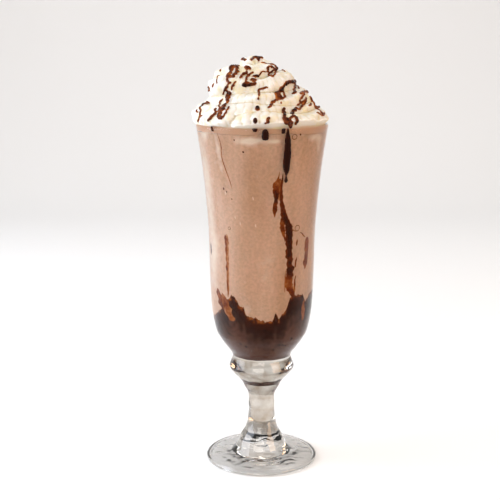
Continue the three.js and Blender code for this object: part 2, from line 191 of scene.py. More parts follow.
# %% Soft lights
def soft_light(name, place, aim, size, power, tint):
    """A lamp of a width and a height that faces a point."""
    data = bpy.data.lights.new(name, "AREA")
    data.shape = "RECTANGLE"
    data.size, data.size_y = size
    data.energy = power
    data.color = srgb(tint)[:3]
    lamp = linked(name, data)
    lamp.location = place
    lamp.rotation_euler = (Vector(aim) - Vector(place)).to_track_quat("-Z", "Y").to_euler()


MIDDLE = (0, 0, 0.14)
soft_light("window_left", (-0.75, -0.05, 0.42), MIDDLE, (0.7, 0.9), 8.2, "#e9f1ff")
soft_light("front_fill", (-0.3, -1.3, 0.7), MIDDLE, (0.9, 0.7), 9.5, "#fff8f0")
soft_light("card_right", (0.8, -0.55, 0.35), MIDDLE, (0.5, 0.7), 5.2, "#ffd2a6")
soft_light("back_top", (0.25, 0.6, 1.0), MIDDLE, (0.7, 0.5), 2.0, "#fffaf4")
print(len(bpy.data.lights), "soft lights")

# %% [markdown]
# The sky is what the sides of the glass mirror. It is white behind and to the left, and greyer to the front
# and the right, so that the syrup behind the wall can stay dark.

# %% Sky
SKY_TOWARD = (-0.6, 0.74, 0.3)
SKY_SPREAD = 0.8
SKY_STRENGTH = 0.9

world = bpy.data.worlds.new("studio")
bpy.context.scene.world = world
world.use_nodes = True
sky = world.node_tree
sky.nodes.clear()
compass = add(sky, "TexCoord")
toward = add(sky, "VectorMath", {"operation": "DOT_PRODUCT", 1: SKY_TOWARD},
             {0: compass.outputs["Generated"]})
side = add(sky, "MapRange", {"From Min": -SKY_SPREAD, "From Max": SKY_SPREAD},
           {"Value": toward.outputs["Value"]})
tone = ramp(sky, side, [(0.0, "#a39f9b"), (0.5, "#dcdad7"), (1.0, "#ffffff")])
shine = add(sky, "Background", {"Strength": SKY_STRENGTH}, {"Color": tone})
add(sky, "OutputWorld", links={"Surface": shine})
bpy.context.scene.view_settings.view_transform = "Standard"
bpy.context.scene.view_settings.look = "None"
print("sky of strength", SKY_STRENGTH)

# %% [markdown]
# A turned profile is a short list of named stations, joined by the smooth curve that passes through them
# all (Catmull and Rom's). The same stations shape the solid, so the dressed glass fits it exactly.

# %% Smooth curves through stations
def through(stations, count, swing=False):
    """count + 1 rows on a smooth curve. With swing, the ends carry on the way they were going."""
    rows = np.array(stations, float)
    last = len(rows) - 1
    place = np.linspace(0, last, count + 1)
    first = np.minimum(place.astype(int), last - 1)
    part = (place - first)[:, None]
    foregoing = 2 * rows[0] - rows[1] if swing else rows[0]
    before = np.where((first == 0)[:, None], foregoing, rows[first - 1])
    beyond = 2 * rows[last] - rows[last - 1] if swing else rows[last]
    after = np.where((first + 2 > last)[:, None], beyond, rows[np.minimum(first + 2, last)])
    start, end = rows[first], rows[first + 1]
    go, stop = (end - before) / 2, (after - start) / 2
    cubic = 2 * start - 2 * end + go + stop
    square = 3 * end - 3 * start - 2 * go - stop
    return cubic * part**3 + square * part**2 + go * part + start


print("three stations make", len(through([(0, 0), (1, 1), (2, 0)], 8)), "rows")

# %% [markdown]
# The foot, the stem, the knop and the bowl are four runs of stations for one outside, and the well is the
# inside. Everything in the glass is later fitted to the well, and what clings outside it to the bowl.

# %% Stations of the glass
RIM_THICKNESS = 2.4
FOOT_RADIUS = 34.9
FOOT_EDGE = 3.0
WELL_FLOOR = 68.0
RIM_MIDDLE = GLASS_HEIGHT - RIM_THICKNESS / 2
FOOT_TOP = [(33.2, 3.3), (26, 4.2), (18.5, 5.3)]
STEM = [
    (18.5, 5.3), (15.6, 9), (13.3, 14.5), (10.1, 20), (8.6, 27), (8.2, 35), (8.4, 42.5), (11.2, 48),
    (12.3, 50.5),
]
KNOP = [(12.3, 50.5), (15.2, 54), (18, 57), (20.15, 60.5), (19.3, 63.8), (18.1, 67.5)]
BOWL = [
    (18.1, 67.5), (19.3, 70.6), (22.6, 75), (26, 80), (28.8, 86), (31.2, 100), (32.1, 120),
    (32.9, 150), (35.5, 180), (38.9, 205), (RIM_RADIUS, RIM_MIDDLE),
]
WELL = [
    (0, WELL_FLOOR), (9, WELL_FLOOR + 0.4), (15.5, 71.5), (19, 75), (22.7, 80.4), (25.5, 86.5), (28, 100),
    (29, 120), (30.1, 150), (33, 180), (36.5, 205), (RIM_RADIUS - RIM_THICKNESS, RIM_MIDDLE),
]
bowl_line = through(BOWL, 90)
well_line = through(WELL, 110)


def bowl_radius(height):
    """The outside of the bowl at a height."""
    return np.interp(height, bowl_line[:, 1], bowl_line[:, 0])


def well_radius(height):
    """The inside wall at a height."""
    return np.interp(height, well_line[:, 1], well_line[:, 0])


def round_edge(middle, radius, start, end, count):
    """Part of a circle, from one angle to another."""
    return [
        (middle[0] + radius * math.cos(a), middle[1] + radius * math.sin(a))
        for a in np.radians(np.linspace(start, end, count + 1))
    ]


print("the well is", round(float(well_radius(100)), 1), "mm in radius at 100 mm")

# %% [markdown]
# A piece is finished in one place: its mesh is scaled from millimetres to metres, its faces are smoothed,
# and it is named, painted and tied to its body, and the solids it stands for are hidden.

# %% Spin a profile and finish a piece
def spun(profile, steps):
    """A profile of (radius, height), turned about the upright axis into a closed skin."""
    made = bmesh.new()
    line = [made.verts.new((max(r, 0.0), 0, z)) for r, z in profile]
    edges = [made.edges.new(pair) for pair in zip(line, line[1:])]
    bmesh.ops.spin(
        made, geom=line + edges, cent=(0, 0, 0), axis=(0, 0, 1), dvec=(0, 0, 0),
        angle=2 * math.pi, steps=steps, use_merge=True, use_duplicate=False,
    )
    bmesh.ops.remove_doubles(made, verts=made.verts, dist=1e-5)
    bmesh.ops.recalc_face_normals(made, faces=made.faces)
    return made


def polar(made):
    """The points of a bmesh, with their azimuths in degrees and their radii."""
    place = np.array([v.co for v in made.verts])
    return place, np.degrees(np.arctan2(place[:, 0], -place[:, 1])), np.hypot(place[:, 0], place[:, 1])


def put(made, radius, turn, height):
    """Moves the points of a bmesh to radii, azimuths in radians and heights."""
    for v, r, a, z in zip(made.verts, radius, turn, height):
        v.co = (r * math.sin(a), -r * math.cos(a), z)


def finish(made, name, material, stands_for=(), amounts=None):
    """A named piece from a bmesh in millimetres. amounts are values kept for each vertex."""
    bmesh.ops.scale(made, vec=(MM, MM, MM), verts=made.verts)
    for face in made.faces:
        face.smooth = True
    mesh = bpy.data.meshes.new(name)
    made.to_mesh(mesh)
    made.free()
    for label, values in (amounts or {}).items():
        mesh.attributes.new(label, "FLOAT", "POINT").data.foreach_set("value", np.array(values, np.float32))
    mesh.materials.append(material)
    piece = linked(name, mesh)
    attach(piece, "root")
    if stands_for:
        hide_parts(*stands_for)
    print(name, len(mesh.polygons), "faces")


# %% [markdown]
# The glass is soda-lime, pressed in a mould and fire polished: clear and smooth, with an index of 1.52. The
# mould leaves slow ripples a centimetre long, which make what is seen through the knop and the stem waver,
# so they are a bump. Solid glass swallows a little more light than a thin wall, so its tint is a shade
# greyer, and the stem and knop also get soft warm patches, a painted reflection of the brown drink and
# syrup. The bowl mirrors the room less than real glass does, or its haze would hide how dark the syrup is.

# %% Pressed glass
GLASS_RIPPLE = 9 * MM
PAINTED_REFLECTION_SIZE = 10 * MM
SOLID_BELOW = 66 * MM
WALL_ABOVE = 72 * MM

glass_material, tree = blank("pressed_soda_lime_glass")
where = add(tree, "TexCoord").outputs["Object"]
height = add(tree, "SeparateXYZ", links={"Vector": where}).outputs["Z"]
solid = add(tree, "MapRange", {"From Min": SOLID_BELOW, "From Max": WALL_ABOVE, "To Min": 1.0, "To Max": 0.05},
            {"Value": height})
ripple = add(tree, "TexNoise", {"Scale": 1 / GLASS_RIPPLE, "Detail": 1.0, "Roughness": 0.4}, {"Vector": where})
above_foot = add(tree, "MapRange", {"From Min": 4 * MM, "From Max": 12 * MM, "To Min": 0.25}, {"Value": height})
strength = add(tree, "Math", {"operation": "MULTIPLY"}, {0: solid, 1: above_foot})
waver = add(tree, "Bump", {"Distance": 1.2 * MM}, {"Height": ripple, "Strength": strength})
# Painted reflection: warm brown patches in the tint of the stem and knop stand for the drink and syrup seen in
# them.
painted_reflection_noise = add(tree, "TexNoise", {"Scale": 1 / PAINTED_REFLECTION_SIZE, "Detail": 2.0}, {"Vector": where})
painted_reflection_tint = ramp(tree, painted_reflection_noise, [(0.38, "#a3937f"), (0.5, "#c4bcb1"), (0.64, "#dfdcd6")])
depth = add(tree, "MapRange", {"From Min": 5 * MM, "From Max": 18 * MM}, {"Value": height})
thick = add(tree, "Mix", {"data_type": "RGBA", 6: srgb("#f6f5f3")}, {0: depth, 7: painted_reflection_tint})
clear = add(tree, "Mix", {"data_type": "RGBA", 6: srgb("#fbfcfb")}, {0: solid, 7: thick.outputs[2]})
mirror = ramp(tree, solid, [(0.05, "#646464"), (1.0, "#ffffff")])
shader = add(tree, "BsdfPrincipled", {"Roughness": 0.0, "IOR": 1.52, "Transmission Weight": 1.0},
             {"Normal": waver, "Base Color": clear.outputs[2], "Specular Tint": mirror})
add(tree, "OutputMaterial", links={"Surface": shader})

# %% [markdown]
# The foot stands on a ring, and inside it the underside is a shallow hollow with the swirls of the mould.
# Its slope follows the top of the foot, so the foot looks like a clear plate and the floor shows through.

# %% Glass with its bowl, knop, stem and foot
HOLLOW = [(0, 3.0), (8, 2.95), (14, 2.85), (20, 2.6), (26, 2.3), (30.5, 1.85), (32.4, 1.1), (33.2, 0)]
SWIRL_DEPTH = 0.27
SWIRL_SIZE = 4.4
SWIRL_SEED = 5
SWIRLS_WITHIN = 32.4
SWIRLS_BELOW = 3.05
edge = FOOT_EDGE / 2
profile = list(through(HOLLOW, 60))
profile += round_edge((FOOT_RADIUS - edge, edge), edge, -90, 80, 8)
profile += list(through(FOOT_TOP, 12))
profile += list(through(STEM, 48))[1:]
profile += list(through(KNOP, 34))[1:]
profile += list(bowl_line)[1:-1]
profile += round_edge((RIM_RADIUS - RIM_THICKNESS / 2, RIM_MIDDLE), RIM_THICKNESS / 2, 0, 180, 12)
profile += list(well_line)[-2:0:-1]
profile += [(0, WELL_FLOOR)]
noise.seed_set(SWIRL_SEED)
turned_glass = spun(profile, 160)
for v in turned_glass.verts:
    far = math.hypot(v.co.x, v.co.y)
    if v.co.z < SWIRLS_BELOW and far < SWIRLS_WITHIN:
        place = Vector((v.co.x, v.co.y, 0)) / SWIRL_SIZE
        swirl = noise.noise(place + 0.8 * noise.noise_vector(place * 0.5))
        v.co.z += SWIRL_DEPTH * swirl * min(1, (SWIRLS_WITHIN - far) / 4)
finish(turned_glass, "footed_glass", glass_material, ["glass"])

# %% [markdown]
# Dark syrup has settled under the drink, and its edge shows through the glass, level in the middle and
# climbing where it clings to the wall. The front of that edge follows the photo, and the back is made up
# from slow waves. The drink above it and the syrup below are both measured from the same two surfaces.

# %% The edge of the syrup and the top of the drink
SHAKE_LEVEL = 209.4
SHAKE_WAVE = 0.5
POOL_LEVEL = 92.0
CLIMB_RADIUS = 28
CLIMB_POWER = 6
POOL_EDGE = [
    (-96, 91), (-90, 92.5), (-81, 95), (-70, 97), (-60, 100.2), (-52, 103.5), (-46, 107), (-42, 109.6),
    (-38, 111.6), (-33, 111), (-30, 108), (-27, 105.8), (-22, 105), (-20, 101.4), (-16, 99.3), (-9, 99.2),
    (-2, 97.5), (5, 96.6), (11, 96.8), (14, 98.6), (15.8, 102), (17.5, 101), (19.5, 98.2), (22, 99),
    (25, 101), (29, 103.5), (32, 107), (34, 111), (42, 111.6), (53, 111), (57, 109), (60.5, 105.8),
    (64, 107.5), (69, 109.5), (77, 111.2), (90, 110.5),
]
BACK_EDGE_MEAN = 101
BACK_EDGE_TURN = 250


def pool_edge(azimuth):
    """The height where the syrup ends on the wall. Azimuth 0 is the front and 90 the right."""
    azimuth = (azimuth + 180) % 360 - 180
    places = [a for a, _ in POOL_EDGE]
    shown = np.interp(azimuth, places, [z for _, z in POOL_EDGE])
    turn = np.where(azimuth < places[0], azimuth + 360, azimuth)
    along = np.clip((turn - places[-1]) / (places[0] + 360 - places[-1]), 0, 1)
    angle = np.radians(turn - BACK_EDGE_TURN)
    slow = BACK_EDGE_MEAN + 5 * np.cos(3 * angle) - 4 * np.cos(angle)
    straight = POOL_EDGE[-1][1] + (POOL_EDGE[0][1] - POOL_EDGE[-1][1]) * along
    hidden = straight + (slow - straight) * np.sin(np.pi * along)
    smooth = np.where((azimuth < places[0]) | (azimuth > places[-1]), hidden, shown)
    angle = np.radians(azimuth)
    ragged = 0.35 * np.sin(47 * angle + 1) + 0.3 * np.sin(81 * angle) + 0.2 * np.sin(133 * angle + 2)
    return smooth + ragged


def pool_top(azimuth, radius):
    """The pool is level in the middle and climbs steeply to its edge on the wall."""
    climb = np.minimum(radius / CLIMB_RADIUS, 1) ** CLIMB_POWER
    return POOL_LEVEL + (pool_edge(azimuth) - POOL_LEVEL) * climb


def shake_top(azimuth, radius):
    """The nearly level top of the drink, under the cream."""
    angle = np.radians(azimuth)
    wave = np.cos(3 * angle) + 0.6 * np.sin(5 * angle)
    return SHAKE_LEVEL + SHAKE_WAVE * wave * np.minimum(radius / RIM_RADIUS, 1)


edge_heights = pool_edge(np.arange(360.0))
print("the edge of the syrup lies", edge_heights.min().round(1), "to", edge_heights.max().round(1), "mm up")

# %% [markdown]
# The drink starts as a spun can, one unit wide and tall, and every point of it is then moved to where it
# belongs between the two surfaces. It reaches a tenth of a millimetre into the wall: with no gap there, the
# glass looks filled to its outer edge, as real drinks do.

# %% A body that fills the well
REACH = 0.12


def filled(low, high, floor_rings, wall_rows, top_rings, steps):
    """A body that fills the well between two uneven heights, low and high."""
    profile = [(r, 0) for r in np.linspace(0, 1, floor_rings)]
    profile += [(1, z) for z in np.linspace(0, 1, wall_rows)[1:]]
    profile += [(r, 1) for r in np.linspace(1, 0, top_rings)[1:]]
    made = spun(profile, steps)
    place, azimuth, radius = polar(made)
    inner = radius < 0.999
    bottom = low(azimuth, np.full_like(radius, RIM_RADIUS))
    top = high(azimuth, np.full_like(radius, RIM_RADIUS))
    height = bottom + (top - bottom) * place[:, 2]
    wall = well_radius(height) + REACH
    far = np.where(inner, radius * wall, wall)
    height = np.where(inner & (place[:, 2] < 1e-4), low(azimuth, far), height)
    height = np.where(inner & (place[:, 2] > 0.9999), high(azimuth, far), height)
    put(made, far, np.radians(azimuth), height)
    return made


drink = filled(pool_top, shake_top, 14, 170, 10, 270)
print("the drink has", len(drink.verts), "points")

# %% [markdown]
# The drink is thick milk foam tinted with cocoa. Light enters it and comes out a little further on, so it
# looks soft. Its colour varies in slow upright smears, where it ran down the wall, and in a fine grain of
# small bubbles. Pale patches are kept for each vertex: paler foam under the rim, painted light along the
# left side and painted highlights at the edge of the syrup.

# %% Cocoa milk foam
SMEAR_SIZE = 13 * MM
SMEAR_STRETCH = 0.16
BUBBLE_GRAIN = 1.6 * MM
TORN_SIZE = 4 * MM

shake_material, tree = blank("cocoa_milk_foam")
where = add(tree, "TexCoord").outputs["Object"]
stretch = add(tree, "Mapping", {"Scale": (1, 1, SMEAR_STRETCH)}, {"Vector": where})
smears = add(tree, "TexNoise", {"Scale": 1 / SMEAR_SIZE, "Detail": 3.0, "Roughness": 0.5}, {"Vector": stretch})
tan = ramp(tree, smears, [(0.3, "#cba385"), (0.5, "#d6b095"), (0.72, "#dfbda5")])
grain = add(tree, "TexNoise", {"Scale": 1 / BUBBLE_GRAIN, "Detail": 2.0}, {"Vector": where})
grain_tone = add(tree, "MapRange", {"From Min": 0.3, "From Max": 0.7, "To Min": 0.905, "To Max": 1.095},
                 {"Value": grain})
grained = add(tree, "VectorMath", {"operation": "SCALE"}, {"Vector": tan, "Scale": grain_tone})
patch = add(tree, "Attribute", {"attribute_name": "foam"})
torn = add(tree, "TexNoise", {"Scale": 1 / TORN_SIZE, "Detail": 4.0}, {"Vector": where})
torn_patch = add(tree, "Math", {"operation": "MULTIPLY_ADD", 1: 1.4}, {0: patch.outputs["Fac"], 2: torn})
foam_and_highlight_mask = add(tree, "MapRange", {"From Min": 0.62, "From Max": 1.5}, {"Value": torn_patch})
flecked = add(tree, "Mix", {"data_type": "RGBA", 7: srgb("#f3e2d2")}, {0: foam_and_highlight_mask, 6: grained})
shader = add(tree, "BsdfPrincipled",
             {"Roughness": 0.5, "Specular IOR Level": 0.1, "Subsurface Weight": 0.25,
              "Subsurface Radius": (1.0, 0.55, 0.35), "Subsurface Scale": 2.5 * MM},
             {"Base Color": flecked.outputs[2]})
add(tree, "OutputMaterial", links={"Surface": shader})

# %% Milkshake
# Each patch is (azimuth, height, half width, half height, amount).
# The long patches along the left side are painted light, the small ones at the edge of the syrup are painted
# highlights, and the others are pale foam.
PALE_FOAM_AND_HIGHLIGHT_PATCHES = [
    (-13.5, 205.6, 6.5, 2.0, 1.0), (-4, 206.5, 4, 1.2, 0.5), (10, 205.6, 4.5, 1.3, 0.8),
    (-63, 207, 3.5, 3.5, 0.6), (-52, 210.5, 6, 1.2, 0.4), (-45, 202, 1.6, 7, 0.45),
    (-43, 190, 1.4, 6, 0.35), (55, 207, 6, 2.5, 0.6), (63, 201, 2.5, 5, 0.45), (30, 209.8, 6, 1.0, 0.5),
    (-72, 180, 6, 25, 0.65), (-68, 135, 6, 24, 0.7), (-38, 96.5, 1.6, 1.2, 0.5), (-20, 104, 3, 3, 0.35),
    (39.5, 114, 2, 2.5, 0.35), (4, 128, 6, 16, 0.12), (150, 206, 8, 2.0, 0.8), (-150, 205, 7, 2.5, 0.8),
    (180, 207, 5, 1.5, 0.5), (120, 204, 4, 4, 0.5),
]
place, azimuth, radius = polar(drink)
foam = np.zeros(len(place))
for middle, height, wide, tall, amount in PALE_FOAM_AND_HIGHLIGHT_PATCHES:
    across = np.radians((azimuth - middle + 180) % 360 - 180) * radius
    foam += amount * np.exp(-((across / wide) ** 2) - ((place[:, 2] - height) / tall) ** 2)
finish(drink, "milkshake_body", shake_material, ["milkshake"], {"foam": np.clip(foam, 0, 1)})

# %% [markdown]
# Chocolate syrup is sugar, cocoa and water. A thick layer is almost black, and a thin film on the glass
# lets light through and turns warm brown. Each run keeps, for every vertex, how thick it is there, and
# the colour follows that value from brown to black.

# %% Chocolate syrup
SYRUP_MOTTLE = 2.2 * MM


def syrup(name, roughness, gloss, stops):
    """Syrup whose colour follows the piece's own value called body, from a thin film to a thick layer."""
    material, tree = blank(name)
    amount = add(tree, "Attribute", {"attribute_name": "body"})
    where = add(tree, "TexCoord").outputs["Object"]
    streaks = add(tree, "TexNoise", {"Scale": 1 / SYRUP_MOTTLE, "Detail": 3.0}, {"Vector": where})
    uneven = add(tree, "MapRange", {"From Min": 0.3, "From Max": 0.7, "To Min": -0.18, "To Max": 0.18},
                 {"Value": streaks})
    depth = add(tree, "Math", {"operation": "ADD"}, {0: amount.outputs["Fac"], 1: uneven})
    colour = ramp(tree, depth, stops)
    shader = add(tree, "BsdfPrincipled", {"Roughness": roughness, "Specular IOR Level": gloss},
                 {"Base Color": colour})
    add(tree, "OutputMaterial", links={"Surface": shader})
    return material


wet_syrup = syrup("poured_chocolate_syrup", 0.12, 0.11,
                  [(0.0, "#a05c26"), (0.3, "#642c0c"), (0.75, "#1f0701")])
wall_syrup = syrup("chocolate_syrup_on_the_wall", 0.5, 0.05,
                   [(0.0, "#c9895c"), (0.25, "#a05828"), (0.5, "#7c350b"), (0.9, "#3e1503")])
# Painted light: the last, lighter stop of the pool's ramp colours its low part, where light comes up through
# the knop.
pool_syrup_and_painted_light = syrup("settled_chocolate_syrup", 0.5, 0.05,
                   [(0.0, "#9a5426"), (0.14, "#471a07"), (0.45, "#2c1007"), (1.0, "#654032")])
cocoa_grit = syrup("undissolved_cocoa", 0.9, 0.0, [(0.0, "#120602"), (1.0, "#060200")])

# %% [markdown]
# The settled syrup is a spun dish and lid. The dish is laid against the well, so that each ring of it keeps
# its share of the way from the middle up to the edge, and the lid follows the surface under the drink. Its
# colour is painted lighter low down, as painted light coming up through the clear knop.

# %% Settled syrup
POOL_FADE = 26


def pool():
    """The syrup at the bottom, and how far each point lies below its edge."""
    profile = [(s, 0) for s in np.linspace(0, 1, 60)]
    profile += [(r, 1) for r in np.linspace(1, 0, 16)[1:]]
    made = spun(profile, 360)
    place, azimuth, share = polar(made)
    steps = np.concatenate([[0], np.cumsum(np.hypot(*np.diff(well_line, axis=0).T))])
    edge = pool_edge(azimuth)
    far = np.interp(edge, well_line[:, 1], steps)
    along = share * far
    low_r = np.interp(along, steps, well_line[:, 0])
    low_z = np.interp(along, steps, well_line[:, 1])
    under = place[:, 2] < 0.5
    wall = well_radius(edge) + REACH
    radius = np.where(under, low_r + REACH, share * wall)
    radius = np.where(share < 1e-5, 0, radius)
    height = np.where(under, low_z - REACH * (share < 0.5), pool_top(azimuth, radius))
    height = np.where(share > 0.999, edge, height)
    put(made, radius, np.radians(azimuth), height)
    return made, np.clip((edge - height) / POOL_FADE, 0, 1) ** 0.68


pool_form, pool_body = pool()
finish(pool_form, "syrup_pool", pool_syrup_and_painted_light, ["syrup"], {"body": pool_body})

# %% [markdown]
# The syrup ran down inside the wall before the drink was poured. One long streak with a side branch runs at
# the right of the front, a thin one at the left, and a short one near the right edge. Round them lie brown
# films and thin threads. Each row is (azimuth, height, half width, body), read from the photo.

# %% Where the syrup ran
MAIN_STREAK = [
    (20, 187, 0.6, 0.6), (19.6, 183.3, 0.8, 0.7), (19, 179, 0.9, 0.75), (19.1, 175, 1.0, 0.75),
    (19.6, 170.6, 1.2, 0.7), (20.4, 168.4, 1.3, 0.65), (21.6, 165.6, 1.5, 0.8), (23.1, 161.8, 2.0, 0.85),
    (25, 159, 2.4, 0.9), (27.4, 157, 2.4, 1), (29.1, 154.7, 2.3, 1), (30.2, 152, 2.4, 1),
    (30.8, 148.2, 2.4, 0.95), (31.1, 141.7, 2.2, 0.85), (31.2, 137.2, 2.3, 0.8), (32.1, 132.9, 2.0, 0.85),
    (32.7, 130.6, 1.9, 0.8), (32.9, 128.9, 2.6, 1), (33.2, 126.3, 2.5, 1), (32.3, 123.3, 2.6, 0.75),
    (31.4, 121.5, 2.8, 0.45), (30.9, 119.4, 2.9, 0.35), (32, 117.6, 3.0, 0.4), (34.2, 115.2, 2.8, 0.5),
    (37, 112.6, 2.6, 0.6), (38.5, 108.5, 3.0, 0.9),
]
SIDE_BRANCH = [
    (16.4, 188, 0.3, 0.3), (15.6, 184.5, 0.5, 0.4), (14.3, 182, 1.3, 0.35), (13.4, 180.2, 1.9, 0.35),
    (13.2, 178.4, 2.0, 0.4), (13.4, 176.2, 1.9, 0.65), (13.8, 174.6, 1.7, 0.85), (14.1, 172.4, 1.4, 0.9),
    (13.9, 170.7, 1.0, 0.9), (13.4, 168.6, 1.4, 0.75), (12.9, 165.1, 1.4, 0.65), (12.8, 162.1, 0.8, 0.45),
    (13.1, 160.4, 0.3, 0.3),
]
LEFT_STREAK = [
    (-44.9, 148.8, 0.6, 0.4), (-44.4, 146.5, 1.0, 0.4), (-44, 143.5, 0.9, 0.45), (-43.9, 138, 0.7, 0.4),
    (-43.6, 131, 0.5, 0.3), (-43.4, 127.6, 0.8, 0.7), (-43.2, 125, 0.5, 0.3), (-43.1, 119, 0.7, 0.4),
    (-42.9, 114, 0.7, 0.25), (-42.6, 110, 0.6, 0.25),
]
RIGHT_STREAK = [
    (59, 146.2, 1.2, 0.35), (58.9, 144.6, 2.1, 0.4), (58.8, 141.8, 2.2, 0.4), (58.7, 137.4, 2.0, 0.4),
    (58.2, 133.1, 1.9, 0.45), (57.2, 130.9, 2.2, 0.55), (56.9, 129.2, 2.1, 0.5), (56.6, 126.2, 0.5, 0.3),
]
FILMS = [
    [(17.2, 184, 0.8, 0.2), (17.2, 178.2, 1.2, 0.28), (17.2, 174.9, 1.1, 0.22), (17.1, 170.5, 0.8, 0.1)],
    [(20.4, 160.5, 0.6, 0.3), (21.4, 157, 1.3, 0.4), (22.3, 152.4, 1.6, 0.55), (23.4, 150.6, 1.1, 0.35),
     (25.3, 147, 0.5, 0.6), (25.8, 145, 0.3, 0.3)],
    [(-42.4, 149.2, 0.6, 0.1), (-42.2, 145, 1.1, 0.2), (-42.2, 140, 1.0, 0.16), (-42.2, 128, 0.9, 0.1),
     (-42, 112, 0.8, 0.1)],
    [(-61.8, 114, 0.8, 0.4), (-60.8, 111.8, 2.0, 0.5), (-57.3, 108.9, 2.4, 0.4), (-54.5, 105, 2.8, 0.65),
     (-51.5, 101.5, 2.2, 0.5)],
    [(-53, 112, 0.8, 0.15), (-50, 109.5, 2.0, 0.25), (-47.5, 106.5, 2.8, 0.5), (-45.4, 103, 3.0, 0.3),
     (-43, 99.5, 2.4, 0.15), (-42, 97.3, 1.2, 0.2)],
    [(56.2, 106.5, 0.8, 0.3), (56.6, 102, 1.5, 0.35), (57.5, 98, 1.5, 0.35), (58.8, 94.2, 0.8, 0.3)],
    [(-42, 101, 0.8, 0.2), (-40.6, 98.8, 1.8, 0.3), (-39.6, 97, 2.4, 0.2), (-38.4, 95.4, 1.6, 0.25)],
    [(39.4, 117.5, 0.8, 0.1), (38.8, 114.5, 1.2, 0.15), (38.9, 112, 0.9, 0.2)],
]
THREADS = [
    [(41.8, 146, 0.35, 0.4), (41.4, 144.1, 0.6, 0.6), (41.4, 142, 0.4, 0.4)],
    [(41.9, 135, 0.3, 0.4), (40.7, 132.4, 0.6, 0.7), (40.1, 130, 0.5, 0.5), (40, 128.8, 0.4, 0.3)],
    [(41, 124, 0.3, 0.3), (40, 120.2, 0.5, 0.7), (40, 117.9, 0.5, 0.7), (40.2, 115, 0.4, 0.4)],
    [(35.4, 152.4, 0.4, 0.6), (37.6, 151.2, 0.6, 0.7), (40, 150.8, 0.3, 0.3)],
    [(44.5, 150.4, 0.3, 0.4), (48, 149.4, 0.7, 0.8), (51.5, 147.7, 0.5, 0.35), (54.9, 146.2, 0.5, 0.3)],
    [(-77.6, 140.8, 0.4, 0.5), (-77.3, 138.6, 1.1, 0.75), (-77.2, 135.5, 1.2, 0.8),
     (-77.4, 133, 0.5, 0.5)],
    [(-28.6, 106.2, 0.4, 0.5), (-27.4, 104.8, 0.9, 0.6), (-26, 103.4, 0.7, 0.6)],
    [(27.2, 128, 0.2, 0.2), (26.6, 124, 0.3, 0.3), (26.4, 120, 0.25, 0.2), (26.4, 114, 0.2, 0.15)],
]
print(len(FILMS), "films and", len(THREADS), "threads")

# %% [markdown]
# Each run or drop of syrup is a ball that is drawn out along the wall. A ball keeps its two poles, so the
# ends come out round and closed. Its back follows the wall, its face stands off it, and a little noise
# makes the sides ragged, as syrup is when it has slid down slowly.

# %% A ball drawn out along a wall
END_SHARPNESS = 6
RAGGED_SIZE = 2.6


def bead(run, wall, depth, sides=24, ragged=0.0, seed=0.0, finer=8):
    """A drawn-out ball on a wall, along the rows of a run, and its own body values."""
    rows = max(len(run) * finer, 24)
    made = bmesh.new()
    bmesh.ops.create_uvsphere(made, u_segments=sides, v_segments=rows, radius=1)
    place, _, ring = polar(made)
    along = np.arccos(np.clip(place[:, 2], -1, 1)) / np.pi
    across = np.divide(place[:, 0], ring, out=np.zeros_like(ring), where=ring > 1e-6)
    outward = np.divide(place[:, 1], ring, out=np.zeros_like(ring), where=ring > 1e-6)
    fine = through(run, 400, swing=True)
    azimuth, height, half, core = (np.interp(along * 400, np.arange(401), fine[:, k]) for k in range(4))
    rounding = np.sqrt(np.maximum(1 - np.abs(2 * along - 1) ** END_SHARPNESS, 0))
    wobble = np.array([
        noise.fractal(Vector((z / RAGGED_SIZE, seed + (7 if s > 0 else 0), 0)), 1.0, 2.0, 3)
        for z, s in zip(height, across)
    ])
    width = np.maximum(half, 0.15) * rounding * (1 + ragged * wobble)
    stand = depth * np.maximum(outward, 0) * rounding * np.clip(half / 1.2, 0.3, 1)
    turn = np.radians(azimuth) + across * width / wall(height)
    put(made, wall(height) + stand, turn, height)
    bmesh.ops.recalc_face_normals(made, faces=made.faces)
    return made, np.clip(core, 0, 1) * (0.5 + 0.5 * np.sqrt(np.maximum(1 - across**2, 0)))


def together(beads):
    """Several beads in one mesh, with their values one after the other."""
    whole = bmesh.new()
    values = []
    for made, body in beads:
        part = bpy.data.meshes.new("part")
        made.to_mesh(part)
        made.free()
        whole.from_mesh(part)
        bpy.data.meshes.remove(part)
        values.append(body)
    return whole, np.concatenate(values)


# %% [markdown]
# A real film is a thin layer between drink and glass. Here films lie a few hundredths of a millimetre in
# front of the drink, inside the wall, the streaks lie in front of the films, and drops cling outside.

# %% Layers on the wall
def film_face(height):
    """Just in front of the drink, inside the wall."""
    return well_radius(height) + REACH + 0.03


def inside(height):
    """In front of the films, inside the wall."""
    return well_radius(height) + REACH + 0.07


def outside(height):
    """The outer face of the glass, where drops cling."""
    return bowl_radius(height) - 0.05


def finish_runs(name, runs, wall, depth, ragged, seed, material, node="syrup"):
    """One piece with a drawn-out ball for each of the runs."""
    beads = [bead(run, wall, depth, ragged=ragged, seed=seed + 5 * i) for i, run in enumerate(runs)]
    whole, body = together(beads)
    finish(whole, name, material, [node], {"body": body})


print("films stand", REACH + 0.03, "mm past the wall")

